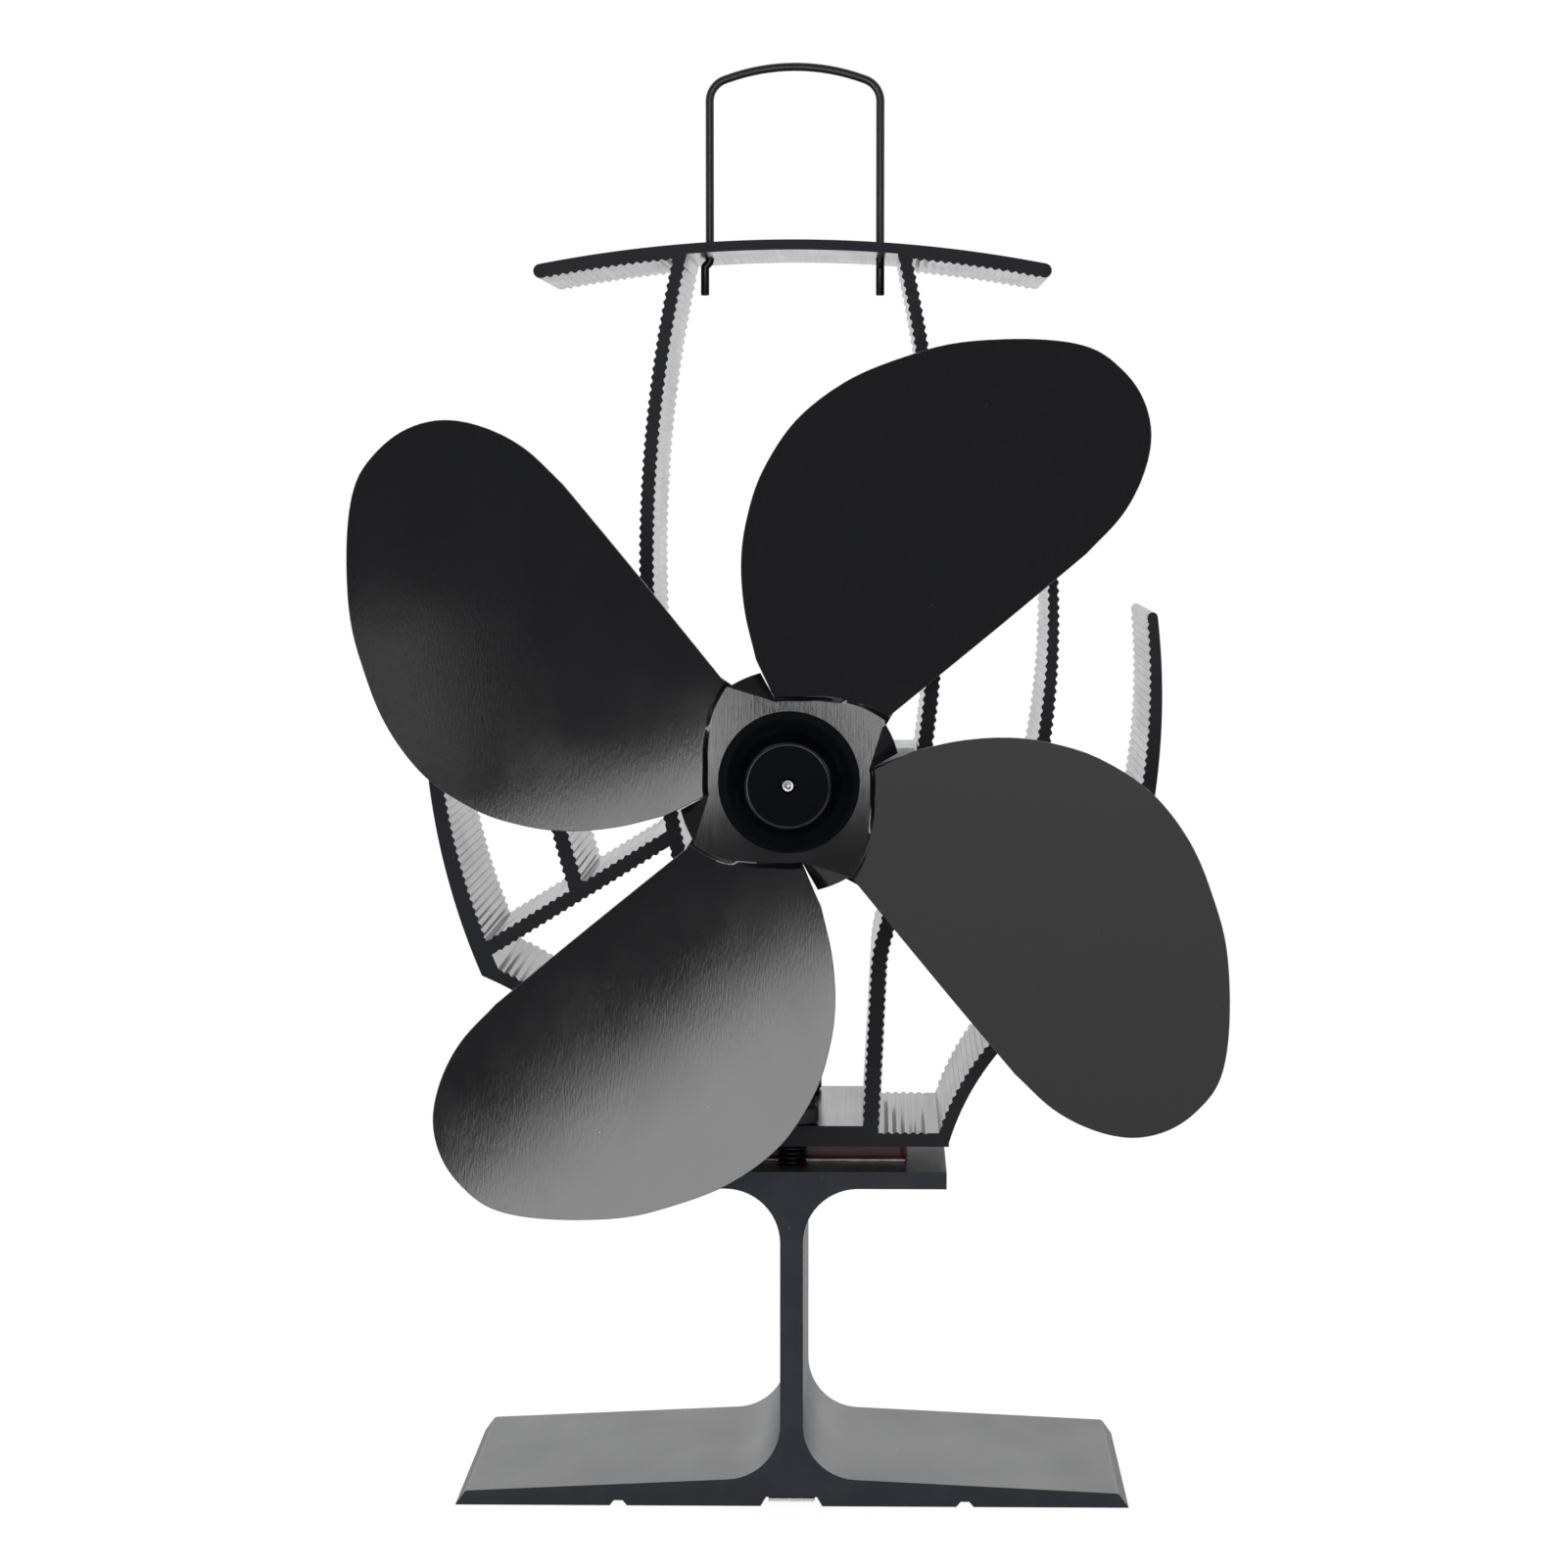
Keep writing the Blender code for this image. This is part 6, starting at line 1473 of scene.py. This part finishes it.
def split_washer():
    """One coil of square wire whose ends stand slightly apart."""
    bore = CLAMP_SCREW_RADIUS + GAP
    low = SPRING_WASHER_INSET
    high = SPRING_WASHER_THICKNESS - SPRING_WASHER_INSET
    section = ((bore, low), (SPRING_WASHER_RADIUS, low), (SPRING_WASHER_RADIUS, high), (bore, high))
    gap = SPRING_WASHER_SPLIT / SPRING_WASHER_RADIUS
    solid = bmesh.new()
    rings = []
    for step in range(ROUND_STEPS + 1):
        angle = gap / 2 + (math.tau - gap) * step / ROUND_STEPS
        lift = SPRING_WASHER_LIFT * (step / ROUND_STEPS - 1 / 2)
        rings.append([solid.verts.new((*polar(radius, angle), height + lift))
                      for radius, height in section])
    join_rings(solid, rings)
    solid.faces.new(rings[0])
    solid.faces.new(reversed(rings[-1]))
    return mesh_of(solid)


# Motor and bracket

def mount_outline():
    """A ring with an ear on each side that reaches the leaning leg."""
    ear = EAR_HEIGHT / 2
    radius = MOTOR_RADIUS + GAP + MOUNT_WALL
    root = math.asin(ear / radius)
    arch = [polar(radius, root + (math.pi - 2 * root) * step / SMALL_STEPS)
            for step in range(SMALL_STEPS + 1)]
    upper_x, lower_x = (reach_at(paths["leg"], AXLE_RISE + y) - LEG_FACE for y in (ear, -ear))
    sides = [Vector((-upper_x, ear)), Vector((-lower_x, -ear))]
    return arch + sides + [-point for point in arch] + mirrored(reversed(sides))


def face_screw_holes(rear, front):
    """Cutters for the motor's two face screws, between two depths."""
    return [at_axle(rod_mesh(FACE_SCREW_RADIUS + GAP, (x, 0, rear), (x, 0, front)))
            for x in (-FACE_SCREW_SPACING / 2, FACE_SCREW_SPACING / 2)]


def make_mount():
    rear = MOUNT_FRONT - MOUNT_DEPTH
    lip_rear = MOUNT_FRONT - MOUNT_LIP
    front = MOUNT_FRONT + OVERRUN
    bracket = show("bracket", at_axle(prism([mount_outline()], rear, MOUNT_FRONT)), "motor_mount")
    cutters = [
        at_axle(rod_mesh(MOTOR_RADIUS + GAP, (0, 0, rear - OVERRUN), (0, 0, lip_rear), ROUND_STEPS)),
        at_axle(rod_mesh(MOUNT_MOUTH_RADIUS, (0, 0, rear), (0, 0, front), ROUND_STEPS)),
    ]
    cutters += face_screw_holes(lip_rear - OVERRUN, front)
    cutters += ear_screw_holes(-LEG_FACE - EAR_SCREW_GRIP - GAP, 0)
    for cutter in cutters:
        cut(bracket, [cutter])
    chamfer(bracket, MOUNT_CHAMFER, SMOOTH_ANGLE)


def make_can():
    """A drawn steel can with a boss round its front bearing."""
    bush = BUSH_RADIUS + GAP
    boss_top = CAN_FRONT + MOTOR_BOSS_LENGTH
    inside_top = CAN_FRONT - MOTOR_WALL
    profile = rounded([
        (bush, boss_top, 0), (MOTOR_BOSS_RADIUS, boss_top, MOTOR_BOSS_ROUND),
        (MOTOR_BOSS_RADIUS, CAN_FRONT, MOTOR_BOSS_FILLET),
        (MOTOR_RADIUS, CAN_FRONT, MOTOR_FRONT_ROUND), (MOTOR_RADIUS, CAN_REAR, MOTOR_REAR_ROUND),
        (CAN_INSIDE, CAN_REAR, 0), (CAN_INSIDE, inside_top, 0), (bush, inside_top, 0),
    ])
    can = show("can_shell", at_axle(lathe(profile, closed=True)), "motor_can")
    for hole in face_screw_holes(inside_top - OVERRUN, CAN_FRONT + OVERRUN):
        cut(can, [hole])


def make_end_cap():
    """A moulded cap with a boss and a ring groove, and slots for the terminals."""
    pocket = BUSH_RADIUS + GAP
    pocket_floor = REAR_BUSH_REAR - GAP
    bore_floor = SHAFT_REAR - GAP
    boss_rear = CAP_REAR - CAP_BOSS_LENGTH
    plug = CAN_INSIDE - GAP
    inner, inner_floor, outer_floor, outer = (MOTOR_RADIUS * share for share in CAP_GROOVE_SHARES)
    groove_floor = CAP_REAR + CAP_GROOVE_DEPTH
    profile = rounded([
        (0, bore_floor, 0), (SHAFT_BORE, bore_floor, 0), (SHAFT_BORE, pocket_floor, 0),
        (pocket, pocket_floor, 0), (pocket, CAP_FRONT, 0), (plug, CAP_FRONT, 0),
        (plug, CAN_REAR - GAP, 0), (MOTOR_RADIUS, CAN_REAR - GAP, 0),
        (MOTOR_RADIUS, CAP_REAR, CAP_EDGE_ROUND), (outer, CAP_REAR, CAP_GROOVE_ROUND),
        (outer_floor, groove_floor, CAP_GROOVE_ROUND),
        (inner_floor, groove_floor, CAP_GROOVE_ROUND), (inner, CAP_REAR, CAP_GROOVE_ROUND),
        (CAP_BOSS_RADIUS, CAP_REAR, CAP_BOSS_FILLET),
        (CAP_BOSS_RADIUS, boss_rear, CAP_BOSS_ROUND), (0, boss_rear, 0),
    ])
    cap = show("end_cap", at_axle(lathe(profile)), "motor_end_cap")
    half = Vector((TERMINAL_WIDTH / 2 + GAP, TERMINAL_THICKNESS / 2 + GAP, 0))
    for y in (-TERMINAL_SPACING / 2, TERMINAL_SPACING / 2):
        low = Vector((0, y, CAP_REAR - OVERRUN)) - half
        high = Vector((0, y, CAP_FRONT + OVERRUN)) + half
        cut(cap, [at_axle(box_mesh(low, high))])


def make_collar():
    front = DISC_REAR - GAP
    rear = front - COLLAR_LENGTH
    middle = (front + rear) / 2
    profile = rounded([
        (SHAFT_BORE, rear, 0), (SHAFT_BORE, front, 0), (COLLAR_RADIUS, front, COLLAR_ROUND),
        (COLLAR_RADIUS, rear, COLLAR_ROUND),
    ])
    collar = show("collar_ring", at_axle(lathe(profile, closed=True)), "hub_collar")
    hole = rod_mesh(GRUB_SCREW_RADIUS + GAP, (0, 0, middle), (0, COLLAR_RADIUS + OVERRUN, middle))
    cut(collar, [at_axle(hole)])


# Leads

def make_leads():
    routes = {"lead_positive": POSITIVE_LEAD_ROUTE, "lead_negative": NEGATIVE_LEAD_ROUTE}
    for name, route in routes.items():
        points = spline([Vector(point) * MM for point in route], LEAD_STEP)
        wire = tube(points, [LEAD_RADIUS] * len(points), LEAD_STEPS)
        show(name + "_wire", wire, name)


paths = sink_paths()
CREASE_CURVE = crease_curve()
make_stand()
make_heat_sink()
make_blades()
make_hub()
make_shaft()
make_handle()
make_module()
make_seal_glints()
make_clamps()
make_mount()
make_can()
make_end_cap()
make_collar()
make_leads()

for name, node in frame["nodes"].items():
    if not node.hide_render:
        node.data.materials.clear()
        node.data.materials.append(paints[slot_of_node[name]])
        node.data.shade_smooth()
        node.data.set_sharp_from_angle(angle=SHARP_ANGLE)


# Camera, floor and light

def camera():
    data = bpy.data.cameras.new("camera")
    data.lens = CAMERA_LENS
    data.sensor_width = CAMERA_SENSOR
    obj = place("camera", data)
    obj.location = CAMERA_PLACE
    obj.rotation_euler = (CAMERA_PITCH, 0, CAMERA_YAW)
    bpy.context.scene.camera = obj


def stage_sheet(name, corners, paint):
    """A flat sheet that belongs to the studio: the floor or a light."""
    mesh = bpy.data.meshes.new(name)
    mesh.from_pydata(corners, [], [range(len(corners))])
    mesh.materials.append(paint.material)
    obj = place(name, mesh)
    return obj


def floor():
    """A white floor that keeps the object's shadow and else shows as white as the back."""
    paint = Paint("floor_white", FLOOR_COLOUR, FLOOR_ROUGHNESS, specular=FLOOR_SPECULAR)
    rays = paint.node("ShaderNodeLightPath")
    glow = paint.node("ShaderNodeEmission", Strength=FLOOR_GLOW)
    blend = paint.node("ShaderNodeMixShader")
    share = paint.math("MULTIPLY", rays.outputs["Is Camera Ray"], FLOOR_GLOW_SHARE)
    paint.link(share, blend.inputs["Fac"])
    paint.link(paint.shader.outputs["BSDF"], blend.inputs[1])
    paint.link(glow.outputs["Emission"], blend.inputs[2])
    paint.surface(blend.outputs["Shader"])
    stage_sheet("floor", [(-FLOOR_SIDE, -FLOOR_FRONT, 0), (FLOOR_SIDE, -FLOOR_FRONT, 0),
                          (FLOOR_SIDE, FLOOR_REAR, 0), (-FLOOR_SIDE, FLOOR_REAR, 0)], paint)


def world():
    """White to the camera all round; in reflections white behind and dim in front."""
    made = bpy.data.worlds.new("studio")
    made.use_nodes = True
    tree = made.node_tree
    ground = tree.nodes["Background"]
    ground.inputs["Color"].default_value = (1, 1, 1, 1)
    rays = add_node(tree, "ShaderNodeLightPath")
    way = add_node(tree, "ShaderNodeTexCoord")
    split = add_node(tree, "ShaderNodeSeparateXYZ")
    ramp = add_node(tree, "ShaderNodeMapRange", interpolation_type="SMOOTHSTEP",
                    From_Min=SKY_SPAN[0], From_Max=SKY_SPAN[1], To_Min=SKY_DIM, To_Max=1)
    reflected = add_node(tree, "ShaderNodeMix")
    reflected.inputs[2].default_value = SKY_AMBIENT
    seen = add_node(tree, "ShaderNodeMix")
    seen.inputs[3].default_value = 1
    for source, target in (
        (way.outputs["Generated"], split.inputs[0]),
        (split.outputs["Y"], ramp.inputs["Value"]),
        (rays.outputs["Is Glossy Ray"], reflected.inputs["Factor"]),
        (ramp.outputs["Result"], reflected.inputs[3]),
        (rays.outputs["Is Camera Ray"], seen.inputs["Factor"]),
        (reflected.outputs[0], seen.inputs[2]),
        (seen.outputs[0], ground.inputs["Strength"]),
    ):
        tree.links.new(source, target)
    bpy.context.scene.world = made


def light_panel(name, middle, angle, corners, radiance):
    """A flat panel in the camera's plane that gives light and that the camera doesn't see."""
    paint = Paint(name, (1, 1, 1), 1)
    glow = paint.node("ShaderNodeEmission", Strength=radiance)
    paint.surface(glow.outputs["Emission"])
    tilt = Matrix.Rotation(angle, 2)
    spots = [middle + tilt @ Vector(corner) for corner in corners]
    panel = stage_sheet(name, [(spot.x, PANEL_DEPTH, spot.y) for spot in spots], paint)
    panel.visible_camera = False


def softbox():
    """A long tilted panel round the camera, mirrored by the blades and the disc.

    It is in two lengths, with the camera stand's dark column in the gap between them, and
    its far end droops. A dim panel high up shows on the upper left blade.
    """
    gap_left, gap_right = SOFTBOX_GAP
    light_panel("softbox_left", SOFTBOX_PLACE, SOFTBOX_TILT, (
        (-SOFTBOX_REACH, SOFTBOX_LEFT_FOOT), (gap_left, SOFTBOX_LEFT_FOOT),
        (gap_left, SOFTBOX_TOP), (SOFTBOX_DROOP_START, SOFTBOX_TOP),
        (-SOFTBOX_REACH, SOFTBOX_DROOP_TOP)), SOFTBOX_RADIANCE)
    light_panel("softbox_right", SOFTBOX_PLACE, SOFTBOX_TILT, (
        (gap_right, SOFTBOX_RIGHT_FOOT), (SOFTBOX_REACH, SOFTBOX_RIGHT_FOOT),
        (SOFTBOX_REACH, SOFTBOX_TOP), (gap_right, SOFTBOX_TOP)), SOFTBOX_RADIANCE)
    half_x, half_y = HIGH_PANEL_HALF
    light_panel("high_panel", HIGH_PANEL_PLACE, HIGH_PANEL_TILT, (
        (-half_x, -half_y), (half_x, -half_y), (half_x, half_y), (-half_x, half_y)),
        HIGH_PANEL_RADIANCE)


camera()
floor()
world()
softbox()
bpy.context.scene.view_settings.view_transform = "Standard"
